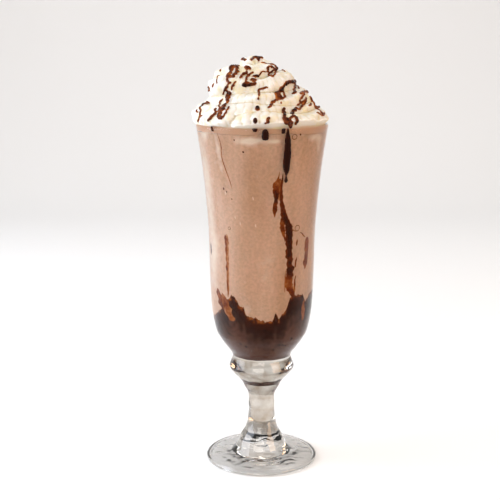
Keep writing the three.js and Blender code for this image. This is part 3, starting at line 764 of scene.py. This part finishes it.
# %% Runs of syrup on the wall
STREAK_DEPTH = -1.7
FILM_DEPTH = -0.4
THREAD_DEPTH = -0.5
finish_runs("syrup_streak_main", [MAIN_STREAK, SIDE_BRANCH], inside, STREAK_DEPTH, 0.45, 0.0, wall_syrup)
finish_runs("syrup_streak_left", [LEFT_STREAK], inside, STREAK_DEPTH, 0.7, 40.0, wall_syrup)
finish_runs("syrup_streak_right_run", [RIGHT_STREAK], inside, STREAK_DEPTH, 0.3, 60.0, wall_syrup,
            node="syrup_streak_right")
finish_runs("syrup_films", FILMS, film_face, FILM_DEPTH, 0.5, 80.0, wall_syrup)
finish_runs("syrup_threads", THREADS, inside, THREAD_DEPTH, 0.8, 120.0, wall_syrup)

# %% [markdown]
# Cream that splashed on the wall dried there as pale droplets. Cocoa that didn't dissolve shows as dark
# specks in the drink and matt black ones in the syrup, and fine brown lines follow the edges of the foam.

# %% Pale droplets and specks of cocoa
foam_material, tree = blank("cream_on_the_wall")
amount = add(tree, "Attribute", {"attribute_name": "body"})
pale = ramp(tree, amount.outputs["Fac"], [(0.0, "#dcb496"), (0.5, "#ecd3bd"), (1.0, "#f8eee2")])
shader = add(tree, "BsdfPrincipled", {"Roughness": 0.5, "Specular IOR Level": 0.1}, {"Base Color": pale})
add(tree, "OutputMaterial", links={"Surface": shader})

DROPLETS = [(-40.4, 174.2), (-9.6, 172), (-30, 160), (-24.4, 156.5), (-7.3, 155.6)]
pale_runs = [
    [(a - 0.3, z + 1.1, 0.2, 0.5), (a, z, 0.4, 0.6), (a + 0.3, z - 1.1, 0.2, 0.5)]
    for a, z in DROPLETS + [(a + 180, z) for a, z in DROPLETS]
]
finish_runs("pale_droplets", pale_runs, film_face, FILM_DEPTH, 0.45, 200.0, foam_material, "milkshake")

MILK_LINES = [
    [(-43.5, 210, 0.2, 0.3), (-40.5, 203, 0.3, 0.35), (-41, 196, 0.3, 0.3), (-38.5, 190, 0.35, 0.35),
     (-33.5, 181, 0.25, 0.25), (-32, 177, 0.2, 0.1)],
    [(-42.6, 177.5, 0.3, 0.8), (-42.2, 176.6, 0.5, 0.9), (-42.4, 175.8, 0.3, 0.8)],
    [(-39, 175.6, 0.2, 0.8), (-38.8, 175, 0.4, 0.8), (-38.8, 174.4, 0.2, 0.8)],
    [(-33, 171.4, 0.2, 0.7), (-32.8, 170.9, 0.35, 0.7), (-32.8, 170.4, 0.2, 0.7)],
    [(-18, 200, 0.3, 0.8), (-17.8, 199.4, 0.6, 0.9), (-17.6, 198.8, 0.3, 0.8)],
    [(-26, 206.8, 0.2, 0.6), (-25.8, 206.2, 0.4, 0.7), (-25.8, 205.6, 0.2, 0.6)],
    [(34.5, 209.8, 0.3, 0.9), (34.8, 209.2, 0.55, 0.9), (35, 208.6, 0.3, 0.9)],
]
POOL_SPECKS = [
    (-32, 81.2), (-24, 79.6), (25, 81), (31.6, 80.4), (37, 79.5), (28.6, 77.8), (41.7, 74.5), (17.7, 77.6),
    (3, 91), (-47, 86.6), (-60, 97), (-19, 75.4), (12, 88.4), (43, 84),
]
finish_runs("cocoa_specks", MILK_LINES, inside, FILM_DEPTH, 0.3, 260.0, wall_syrup, "milkshake")
speck_runs = [[(a - 1, z + 0.8, 0.3, 1), (a, z, 0.65, 1), (a + 1, z - 0.8, 0.3, 1)] for a, z in POOL_SPECKS]
finish_runs("pool_specks", speck_runs, inside, FILM_DEPTH, 0.5, 300.0, cocoa_grit)

# %% [markdown]
# A bubble against the wall is seen as a thin dark ring, made here as a ring of painted shade in the syrup's
# brown. Each is a small circle, spun into a ring that faces the front, and then bent onto the wall.

# %% Bubbles on the wall
def shade_ring_on_wall(azimuth, height, radius, thick):
    """A bubble seen against the wall, as a thin ring of painted shade round it."""
    made = bmesh.new()
    bmesh.ops.create_circle(made, segments=8, radius=thick)
    bmesh.ops.translate(made, verts=made.verts, vec=(radius, 0, 0))
    bmesh.ops.spin(
        made, geom=made.verts[:] + made.edges[:], cent=(0, 0, 0), axis=(0, 1, 0), dvec=(0, 0, 0),
        angle=2 * math.pi, steps=24, use_merge=True, use_duplicate=False,
    )
    bmesh.ops.remove_doubles(made, verts=made.verts, dist=1e-4)
    bmesh.ops.recalc_face_normals(made, faces=made.faces)
    place = polar(made)[0]
    z = height + place[:, 2]
    r = inside(z) - thick * 0.6 + place[:, 1] * 0.5
    put(made, r, math.radians(azimuth) + place[:, 0] / r, z)
    return made, np.full(len(made.verts), 0.5)


# Painted shade: each bubble's dark ring is drawn in the brown of the syrup on the wall.
BUBBLES = [(-38.4, 152.9, 0.9, 0.45), (29, 208, 1.5, 0.35), (41.1, 152.8, 1.7, 0.3)]
bubble_shade_rings = together([shade_ring_on_wall(*b) for b in BUBBLES])
finish(bubble_shade_rings[0], "painted_shade_bubble_rings", wall_syrup, ["milkshake"], {"body": bubble_shade_rings[1]})

# %% [markdown]
# The back of the glass isn't in the photo. Three runs of the same kind are repeated there, further round.

# %% Runs at the back
BEHIND = [(MAIN_STREAK[8:], 131), (LEFT_STREAK, 207), (RIGHT_STREAK, 131)]
behind = [[(azimuth + turn, *row) for azimuth, *row in run] for run, turn in BEHIND]
finish_runs("syrup_streaks_behind", behind, inside, STREAK_DEPTH, 0.5, 160.0, wall_syrup)

# %% [markdown]
# Where the drizzle ran over the rim, five drops hang on the outside of the glass. The longest has thinned
# to a neck with a last drop under it.

# %% Drops over the rim
DRIP_DEPTH = 1.3
DRIPS = [
    [(21.1, 213.4, 0.9, 0.8), (21.1, 210.1, 1.3, 0.85), (21.5, 206.9, 1.8, 0.9), (22, 200.6, 2.2, 1),
     (22.2, 196.4, 2.3, 1), (22, 192.2, 2.2, 1), (22.1, 189.2, 1.9, 1), (22.2, 186.8, 1.0, 0.8),
     (22.1, 185.4, 0.45, 0.6), (22.2, 184.2, 0.7, 0.9), (22.3, 182.5, 1.25, 1), (22.2, 181, 0.9, 1)],
    [(2, 213, 1.3, 0.8), (2, 209.8, 2.1, 1), (2.1, 206.3, 1.9, 1)],
    [(-6.4, 213.4, 1.9, 0.8), (-6.4, 211.2, 1, 0.8)],
    [(17.4, 213.3, 1.2, 0.9), (16.8, 210, 1, 0.9)],
    [(-47.6, 213.4, 0.8, 0.7), (-46, 210.4, 0.9, 0.8)],
]
for number, run in enumerate(DRIPS, 1):
    made, body = bead(run, outside, DRIP_DEPTH, sides=28, ragged=0.12, seed=number * 3.0, finer=10)
    node = f"syrup_drip_{number}"
    finish(made, f"rim_drip_{number}", wet_syrup, [node], {"body": body})

# %% [markdown]
# Whipped cream comes out of a star nozzle as a ridged rope, and is laid in a ring that winds inwards as it
# rises. Seen from its middle, every direction meets the cream once, so its skin is a ball pushed out, in
# each direction, to the furthest rope there. A heart under the ropes closes the gaps between the turns.

# %% The rope of cream
CREAM_CENTRE = 212.0
LIP_HEIGHT = GLASS_HEIGHT + 0.3
ROPE_START = 250
TURNS_PER_STATION = 0.8
ROPE_STATIONS = [
    (33.0, 215.0, -0.2, 8.2), (31.5, 215.8, -1.4, 8.1), (25.5, 223.0, -1.8, 8.0), (22.2, 227.2, -1.8, 7.8),
    (18.3, 235.6, -5.0, 7.4), (12.6, 240.0, -7.0, 7.0), (4.4, 246.0, -2.6, 6.8),
]
ROPE_TILT = 1.8
RIDGES = 6
RIDGE_DEPTH = 0.45
RIDGE_SLANT = 3.6
ROPE_STEPS = 240

rope_rows = through(ROPE_STATIONS, ROPE_STEPS, swing=True)
rope_width = through(ROPE_STATIONS, ROPE_STEPS)[:, 3]
reach_along = np.linspace(0, 1, ROPE_STEPS + 1)
rope_turns = TURNS_PER_STATION * (len(ROPE_STATIONS) - 1)
rope_turn = 2 * np.pi * rope_turns * reach_along
rope_angle = math.radians(ROPE_START) + rope_turn
sway = 1 + 0.05 * np.sin(1.37 * rope_angle + 1) + 0.035 * np.sin(2.63 * rope_angle)
bob = 0.8 * np.sin(1.7 * rope_angle + 2) + 0.5 * np.sin(3.1 * rope_angle)
rope_radius = rope_width * (1 + 0.07 * np.sin(2.3 * rope_angle + 0.5) + 0.05 * np.sin(4.1 * rope_angle + 2))
rope_middle = np.stack([
    rope_rows[:, 2] + rope_rows[:, 0] * sway * np.cos(rope_angle),
    rope_rows[:, 0] * sway * np.sin(rope_angle),
    rope_rows[:, 1] - ROPE_TILT * np.cos(rope_angle) * (1 - reach_along) + bob - CREAM_CENTRE,
], axis=1)
rope_along = np.gradient(rope_middle, axis=0)
rope_arc = np.concatenate([[0], np.cumsum(np.linalg.norm(np.diff(rope_middle, axis=0), axis=1))])
rope_along /= np.linalg.norm(rope_along, axis=1, keepdims=True)
rope_up = np.array([0, 0, 1.0]) - rope_along * rope_along[:, 2:]
rope_up /= np.linalg.norm(rope_up, axis=1, keepdims=True)
rope_side = np.cross(rope_along, rope_up)
print("the rope is", round(rope_arc[-1]), "mm long in", rope_turns, "turns")

# %% [markdown]
# The turns are melted softly into the heart, and slow lumps a centimetre wide and faint creases are laid
# over them. At the rim the cream is held back, so that it laps over the glass only at the left.

# %% The skin of the cream
HEART = (31.0, 28.0, 12.0)
FOLD_SOFTNESS = 1.1
CREAM_LUMPS = 2.0
LUMP_SIZE = 11.0
FOLD_CREASE = 0.12
CREASE_SIZE = 5.0


def cream_reach(directions):
    """How far the cream reaches from its centre in each direction."""
    ahead = directions @ rope_middle.T
    gap = rope_radius**2 - ((rope_middle**2).sum(1) - ahead**2)
    far = np.where(gap > 0, ahead + np.sqrt(np.maximum(gap, 0)), -1.0)
    which = far.argmax(1)
    far = far.max(1)
    around = np.hypot(directions[:, 0], directions[:, 1]) / HEART[0]
    rise = directions[:, 2] / np.where(directions[:, 2] > 0, HEART[1], HEART[2])
    heart = 1 / np.hypot(around, rise)
    offset = directions * far[:, None] - rope_middle[which]
    angle = np.arctan2((offset * rope_up[which]).sum(1), (offset * rope_side[which]).sum(1))
    ridge = RIDGE_DEPTH * np.cos(RIDGES * angle - rope_arc[which] / RIDGE_SLANT)
    far = np.where(far > 0, far + ridge, far)
    most = np.maximum(far, heart)
    blend = np.exp((far - most) / FOLD_SOFTNESS) + np.exp((heart - most) / FOLD_SOFTNESS)
    return most + FOLD_SOFTNESS * np.log(blend)


def cream_surface(directions):
    """Points of the cream's skin. It stays inside the rim at the front and laps over it at the left."""
    at = directions * cream_reach(directions)[:, None]
    lumps = np.array([
        CREAM_LUMPS * noise.fractal(Vector(p) / LUMP_SIZE, 1.0, 2.0, 2)
        + FOLD_CREASE * (0.4 - abs(noise.noise(Vector(p) / CREASE_SIZE)) * 2)
        for p in at
    ])
    fade = np.clip((at[:, 2] + CREAM_CENTRE - LIP_HEIGHT) / 3, 0, 1)
    at += directions * (lumps * fade)[:, None]
    azimuth = np.arctan2(directions[:, 0], -directions[:, 1])
    lip = RIM_RADIUS - 0.4 - 1.4 * np.cos(azimuth) - 1.3 * np.sin(azimuth)
    most = lip + 0.9 * np.maximum(at[:, 2] + CREAM_CENTRE - LIP_HEIGHT, 0)
    radius = np.hypot(at[:, 0], at[:, 1])
    shrink = np.minimum(most / np.maximum(radius, 1e-9), 1)
    at[:, :2] *= shrink[:, None]
    at[:, 2] += CREAM_CENTRE
    return at


def heading(azimuth, elevation):
    """Unit directions from azimuths and elevations in degrees."""
    a, e = np.radians(azimuth), np.radians(elevation)
    return np.stack([np.sin(a) * np.cos(e), -np.cos(a) * np.cos(e), np.sin(e)], axis=1)


print("the cream is", cream_surface(heading([0.0], [90.0]))[0, 2].round(1), "mm up in the middle")

# %% [markdown]
# Cream is white fat and air. Light spreads far inside it, so its shadows stay pale and warm, and its skin
# has a soft shine. A fine foam grain covers it, and painted shade makes the folds darker and more yellow
# than the crests.

# %% Whipped cream
BUTTER_SIZE = 7 * MM
FOAM_GRAIN = 1.1 * MM

cream_material, tree = blank("whipped_dairy_cream")
where = add(tree, "TexCoord").outputs["Object"]
bend = add(tree, "NewGeometry")
# Painted shade: where the skin curves inwards, into the folds, its colour turns darker and more yellow.
painted_crease_shade = ramp(tree, bend.outputs["Pointiness"],
             [(0.4, "#b09a70"), (0.46, "#cabd9f"), (0.5, "#d8d4cb"), (0.55, "#ebebe9")])
soft = add(tree, "TexNoise", {"Scale": 1 / BUTTER_SIZE, "Detail": 3.0}, {"Vector": where})
butter = add(tree, "MapRange", {"From Min": 0.5, "From Max": 0.64, "To Max": 0.55}, {"Value": soft})
white = add(tree, "Mix", {"data_type": "RGBA", 7: srgb("#d8cb9c")}, {0: butter, 6: painted_crease_shade})
height = add(tree, "SeparateXYZ", links={"Vector": where}).outputs["Z"]
shore = add(tree, "Math", {"operation": "MULTIPLY_ADD", 1: 3.5 * MM}, {0: soft, 2: height})
MIXED_BELOW = (LIP_HEIGHT + 0.6) * MM
WHITE_ABOVE = (LIP_HEIGHT + 2.4) * MM
mixed = add(tree, "MapRange", {"From Min": MIXED_BELOW, "From Max": WHITE_ABOVE, "To Min": 1.0, "To Max": 0.0},
            {"Value": shore})
dyed = add(tree, "Mix", {"data_type": "RGBA", 7: srgb("#d3a88b")}, {0: mixed, 6: white.outputs[2]})
foam = add(tree, "TexNoise", {"Scale": 1 / FOAM_GRAIN, "Detail": 4.0, "Roughness": 0.6}, {"Vector": where})
skin = add(tree, "Bump", {"Strength": 0.35, "Distance": 0.4 * MM}, {"Height": foam})
shader = add(tree, "BsdfPrincipled",
             {"Roughness": 0.5, "Subsurface Weight": 0.35, "Subsurface Radius": (1.0, 0.72, 0.5),
              "Subsurface Scale": 2 * MM, "Specular IOR Level": 0.3},
             {"Base Color": dyed.outputs[2], "Normal": skin})
add(tree, "OutputMaterial", links={"Surface": shader})

# %% [markdown]
# The heap is a ball whose points are sent out to the skin. Most of its rows go to the heap that shows, and
# the few lowest make a plug that fills the top of the glass down to the drink.

# %% The heap of cream
CREAM_AROUND = 400
CREAM_UP = 236
CREAM_LOWEST = -12
LOWEST_SHARE = 0.12


def cream():
    """The heap of cream, as a ball pushed out to its skin, with a plug that sits in the glass."""
    made = bmesh.new()
    bmesh.ops.create_uvsphere(made, u_segments=CREAM_AROUND, v_segments=CREAM_UP, radius=1)
    place, azimuth, _ = polar(made)
    share = np.arcsin(np.clip(place[:, 2], -1, 1)) / np.pi + 0.5
    elevation = np.interp(share, [0, LOWEST_SHARE, 1], [-90, CREAM_LOWEST, 90])
    at = cream_surface(heading(azimuth, elevation))
    radius = np.maximum(np.hypot(at[:, 0], at[:, 1]), 1e-9)
    inner = well_radius(np.clip(at[:, 2], SHAKE_LEVEL, RIM_MIDDLE)) + REACH
    above = at[:, 2] - LIP_HEIGHT
    under = at[:, 2] < SHAKE_LEVEL
    filling = inner - np.maximum(above, 0) * 1.2
    wanted = np.where(above < 0, inner, np.maximum(radius, filling))
    wanted = np.where(under, np.minimum(radius * 1.2, inner), wanted)
    at[:, :2] *= (wanted / radius)[:, None]
    at[:, 2] = np.maximum(at[:, 2], shake_top(azimuth, wanted))
    for v, p in zip(made.verts, at):
        v.co = p
    return made


finish(cream(), "piped_cream", cream_material, ["whipped_cream"])

# %% [markdown]
# The drizzle is poured from a bottle that is swung to and fro. The syrup folds back on itself as it lands,
# so a thick strand is a chain of small loops with cream showing through them. Each strand is given by how
# wide it loops, how thick it is, and the directions it passes through, read from the photo in degrees.

# %% Where the drizzle fell
STRANDS = [
    (0.6, 1.1, [(-57, 64), (-44, 58), (-39, 52), (-39, 46)]),
    (0.7, 1.1, [(-61, 63), (-49, 54), (-46, 48), (-49, 46)]), (0.5, 1.0, [(-50, 57), (-47, 55)]),
    (0.6, 1.0, [(-47, 47), (-40, 47)]), (0.2, 0.9, [(-47, 45), (-44, 43), (-40, 41), (-38, 42)]),
    (0.3, 0.8, [(-33, 44), (-34, 41), (-36, 39), (-37, 36)]),
    (0.2, 0.7, [(-40, 40), (-43, 37), (-47, 34), (-50, 32)]),
    (0.2, 0.8, [(-40, 38), (-43, 37), (-43, 35), (-39, 35)]),
    (1.4, 1.0, [(-40, 35), (-42, 31), (-39, 25)]),
    (1.6, 0.9, [(-40, 25), (-38, 20), (-36, 16), (-37, 12), (-36, 9)]),
    (0.3, 0.7, [(-32, 20), (-32, 15), (-33, 11), (-35, 8)]),
    (0.2, 0.7, [(-49, 29), (-52, 24), (-41, 18), (-39, 13), (-36, 9)]),
    (0.1, 0.7, [(-43, 17), (-45, 16), (-42, 14), (-41, 13)]),
    (0.2, 1.0, [(-41, 13), (-44, 11), (-46, 9), (-50, 6)]),
    (0.3, 0.8, [(-86, 22), (-91, 22), (-88, 18), (-66, 15), (-64, 12), (-63, 8), (-67, 4)]),
    (0.1, 0.6, [(-75, 14), (-75, 12), (-68, 12)]), (0.1, 0.6, [(-55, 10), (-61, 8)]),
    (0.1, 0.8, [(-70, 52), (-69, 50)]), (0.2, 0.6, [(-68, 48), (-63, 43), (-58, 40), (-54, 38)]),
    (0.2, 0.8, [(-68, 39), (-62, 35)]), (0.1, 0.6, [(-72, 33), (-68, 32)]),
    (0.3, 1.1, [(-23, 62), (-28, 63), (-32, 62), (-27, 60)]),
    (0.3, 0.9, [(-27, 59), (-27, 56), (-31, 54), (-30, 48)]),
    (0.2, 0.8, [(-16, 60), (-21, 57), (-24, 54), (-23, 49), (-22, 46)]),
    (0.6, 1.1, [(-25, 42), (-20, 43), (-14, 45), (-8, 47)]), (0.2, 0.7, [(-24, 43), (-21, 45), (-17, 46)]),
    (0.3, 1.0, [(-18, 50), (-15, 52), (-11, 51), (-14, 48)]), (0.3, 1.0, [(-17, 56), (-12, 58), (-6, 59)]),
    (0.1, 0.6, [(-7, 59), (-4, 61), (0, 63), (8, 64)]), (0.1, 0.5, [(-21, 42), (-21, 41)]),
    (0.3, 0.9, [(-57, 79), (-98, 82), (-115, 83), (-142, 84), (-165, 83), (-185, 82)]),
    (0.2, 0.9, [(-129, 84), (-128, 86), (-168, 83)]),
    (0.1, 0.8, [(7, 42), (4, 43), (-1, 42), (-5, 41), (-4, 35), (-4, 31)]),
    (0.3, 0.9, [(-4, 30), (-5, 28)]), (0.2, 0.7, [(58, 74), (58, 76), (74, 79)]),
    (0.5, 0.9, [(108, 79), (21, 69), (13, 66), (9, 64)]),
    (0.2, 0.7, [(11, 63), (18, 65), (28, 68), (39, 72)]),
    (0.3, 0.7, [(12, 62), (15, 59), (18, 56), (38, 69), (50, 72)]), (0.1, 0.5, [(103, 70), (73, 66)]),
    (0.6, 1.1, [(73, 51), (80, 53), (47, 50), (35, 47), (29, 44)]),
    (1.8, 1.0, [(29, 44), (25, 42), (19, 36), (17, 31)]),
    (0.2, 0.8, [(31, 43), (29, 37), (28, 33), (22, 31), (15, 29)]),
    (0.4, 0.9, [(16, 30), (12, 27), (10, 26), (7, 21), (5, 20)]),
    (0.3, 1.0, [(79, 52), (65, 48), (53, 43), (45, 37), (39, 36)]), (0.1, 0.6, [(102, 47), (66, 43)]),
    (0.2, 0.8, [(49, 34), (63, 37), (98, 36), (100, 33)]), (0.2, 0.8, [(65, 36), (52, 31), (44, 27)]),
    (0.1, 0.7, [(57, 28), (49, 26), (40, 23)]), (0.2, 0.8, [(62, 31), (54, 25), (46, 21), (38, 18)]),
    (0.2, 0.9, [(72, 31), (71, 28), (72, 24), (70, 21)]), (0.2, 0.7, [(63, 24), (62, 22), (56, 21)]),
    (0.2, 0.8, [(72, 21), (72, 16), (66, 12), (78, 11)]),
    (0.2, 0.7, [(56, 13), (60, 12), (64, 10), (75, 11)]),
    (0.5, 1.1, [(38, 21), (34, 18), (31, 16), (27, 13)]),
    (0.4, 1.1, [(27, 12), (28, 10), (28, 7), (28, 4)]),
    (0.3, 0.9, [(26, 12), (23, 10), (22, 8), (24, 6), (25, 3)]),
    (0.5, 1.1, [(22, 21), (21, 18), (20, 14), (18, 11)]), (0.1, 0.7, [(18, 16), (20, 15)]),
    (0.6, 1.1, [(18, 11), (18, 8), (20, 5)]), (0.5, 1.1, [(19, 10), (21, 8), (22, 5), (23, 3)]),
    (0.4, 1.1, [(5, 11), (4, 9), (4, 6)]), (0.1, 0.8, [(1, 6), (3, 6)]),
]
DROPS = [((-5, 19), 1.7), ((-6, 8), 1.6), ((20, 26), 0.75), ((24, 3), 1.3)]
BACK_TURN = 178
BACK_LOWERING = 0.96
BACK_THINNEST = 0.75
back = [
    (wide, thick, [(azimuth + BACK_TURN, elevation * BACK_LOWERING) for azimuth, elevation in line])
    for wide, thick, line in STRANDS if thick > BACK_THINNEST
]
print(len(STRANDS), "strands in front and", len(back), "behind")

# %% [markdown]
# A strand is walked along the cream in even steps, and swung from side to side as it goes, which draws the
# loops. It is kept as a curve with a round section, because a curve can be thinner at its ends.

# %% Loops along a strand
LOOP_STEP = 2.7
STEP_ALONG = 0.35
SUNK = 0.15


def surface_route(line, gap):
    """Even steps on the cream along a line of directions, the way out at each, and the way walked."""
    rough = through(line, len(line) * 12)
    skin = cream_surface(heading(rough[:, 0], rough[:, 1]))
    walked = np.concatenate([[0], np.cumsum(np.linalg.norm(np.diff(skin, axis=0), axis=1))])
    count = max(int(walked[-1] / gap), 3)
    pick = np.interp(np.linspace(0, walked[-1], count), walked, np.arange(len(rough)))
    spread = [np.interp(pick, np.arange(len(rough)), rough[:, k]) for k in range(2)]
    outward = heading(*spread)
    return cream_surface(outward), outward, np.linspace(0, walked[-1], count)


def strand_points(wide, thick, line, number):
    """The looping path of one strand, with its radius at each point."""
    at, outward, walked = surface_route(line, STEP_ALONG)
    ahead = np.gradient(at, axis=0)
    ahead /= np.maximum(np.linalg.norm(ahead, axis=1, keepdims=True), 1e-9)
    side = np.cross(ahead, outward)
    turn = 2 * np.pi * walked / LOOP_STEP + number
    fade = np.minimum(1, np.minimum(walked, walked[-1] - walked) / 1.2 + 0.3)
    swing = wide * fade * (0.8 + 0.35 * np.sin(0.37 * turn + number))
    at = at + side * (swing * np.cos(turn))[:, None] + ahead * (0.9 * swing * np.sin(turn))[:, None]
    radius = thick * (0.95 + 0.1 * np.sin(0.61 * turn + 2 * number)) * fade**0.5
    return at + outward * (SUNK * radius)[:, None], radius


drizzle_data = bpy.data.curves.new("drizzle", "CURVE")
drizzle_data.dimensions = "3D"
drizzle_data.bevel_depth = 1.0
drizzle_data.bevel_resolution = 2
drizzle_data.use_fill_caps = True


def lay(points, radius):
    """One strand as a round spline."""
    spline = drizzle_data.splines.new("POLY")
    spline.points.add(len(points) - 1)
    spline.points.foreach_set("co", np.column_stack([points, np.ones(len(points))]).ravel())
    spline.points.foreach_set("radius", radius)


for number, strand in enumerate(STRANDS + back):
    lay(*strand_points(*strand, number * 1.7))
print(len(drizzle_data.splines), "strands laid")

# %% [markdown]
# Real strands flow together where they touch. Balls for the stray drops and the round strands go into one
# mesh, a voxel remesh melts them into one wet skin, and a little smoothing takes the steps off it. How far
# each point stands off the cream is kept, so that thin edges turn brown.

# %% Melted drizzle
VOXEL = 0.34
DRIZZLE_DEPTH = 2.1
drop_forms = bmesh.new()
for (azimuth, elevation), size in DROPS + [((a + BACK_TURN, e), s) for (a, e), s in DROPS]:
    outward = heading(np.array([azimuth]), np.array([elevation]))
    middle = cream_surface(outward)[0] + outward[0] * SUNK * size
    ball = bmesh.ops.create_icosphere(drop_forms, subdivisions=3, radius=size)
    bmesh.ops.scale(drop_forms, vec=(0.85, 0.85, 1.15), verts=ball["verts"])
    bmesh.ops.translate(drop_forms, vec=middle, verts=ball["verts"])

strand_object = linked("drizzle_curves", drizzle_data)
strand_mesh = bpy.data.meshes.new_from_object(strand_object)
bpy.data.objects.remove(strand_object)
drop_forms.from_mesh(strand_mesh)
bpy.data.meshes.remove(strand_mesh)
melted = bpy.data.meshes.new("drizzle")
drop_forms.to_mesh(melted)
drop_forms.free()
melting = linked("melting", melted)
remesh = melting.modifiers.new("melt", "REMESH")
remesh.mode = "VOXEL"
remesh.voxel_size = VOXEL
smooth = melting.modifiers.new("soften", "SMOOTH")
smooth.factor = 0.5
smooth.iterations = 2
whole = bpy.context.evaluated_depsgraph_get()
merged = bpy.data.meshes.new_from_object(melting.evaluated_get(whole))
bpy.data.objects.remove(melting)
drizzle_form = bmesh.new()
drizzle_form.from_mesh(merged)
spread = np.array([v.co for v in merged.vertices]) - (0, 0, CREAM_CENTRE)
length = np.linalg.norm(spread, axis=1)
skin_length = np.linalg.norm(cream_surface(spread / length[:, None]) - (0, 0, CREAM_CENTRE), axis=1)
drizzle_body = np.clip((length - skin_length - 0.1) / DRIZZLE_DEPTH, 0, 1)
finish(drizzle_form, "syrup_drizzle", wet_syrup, ["whipped_cream"],
       {"body": drizzle_body})
bpy.data.meshes.remove(merged)
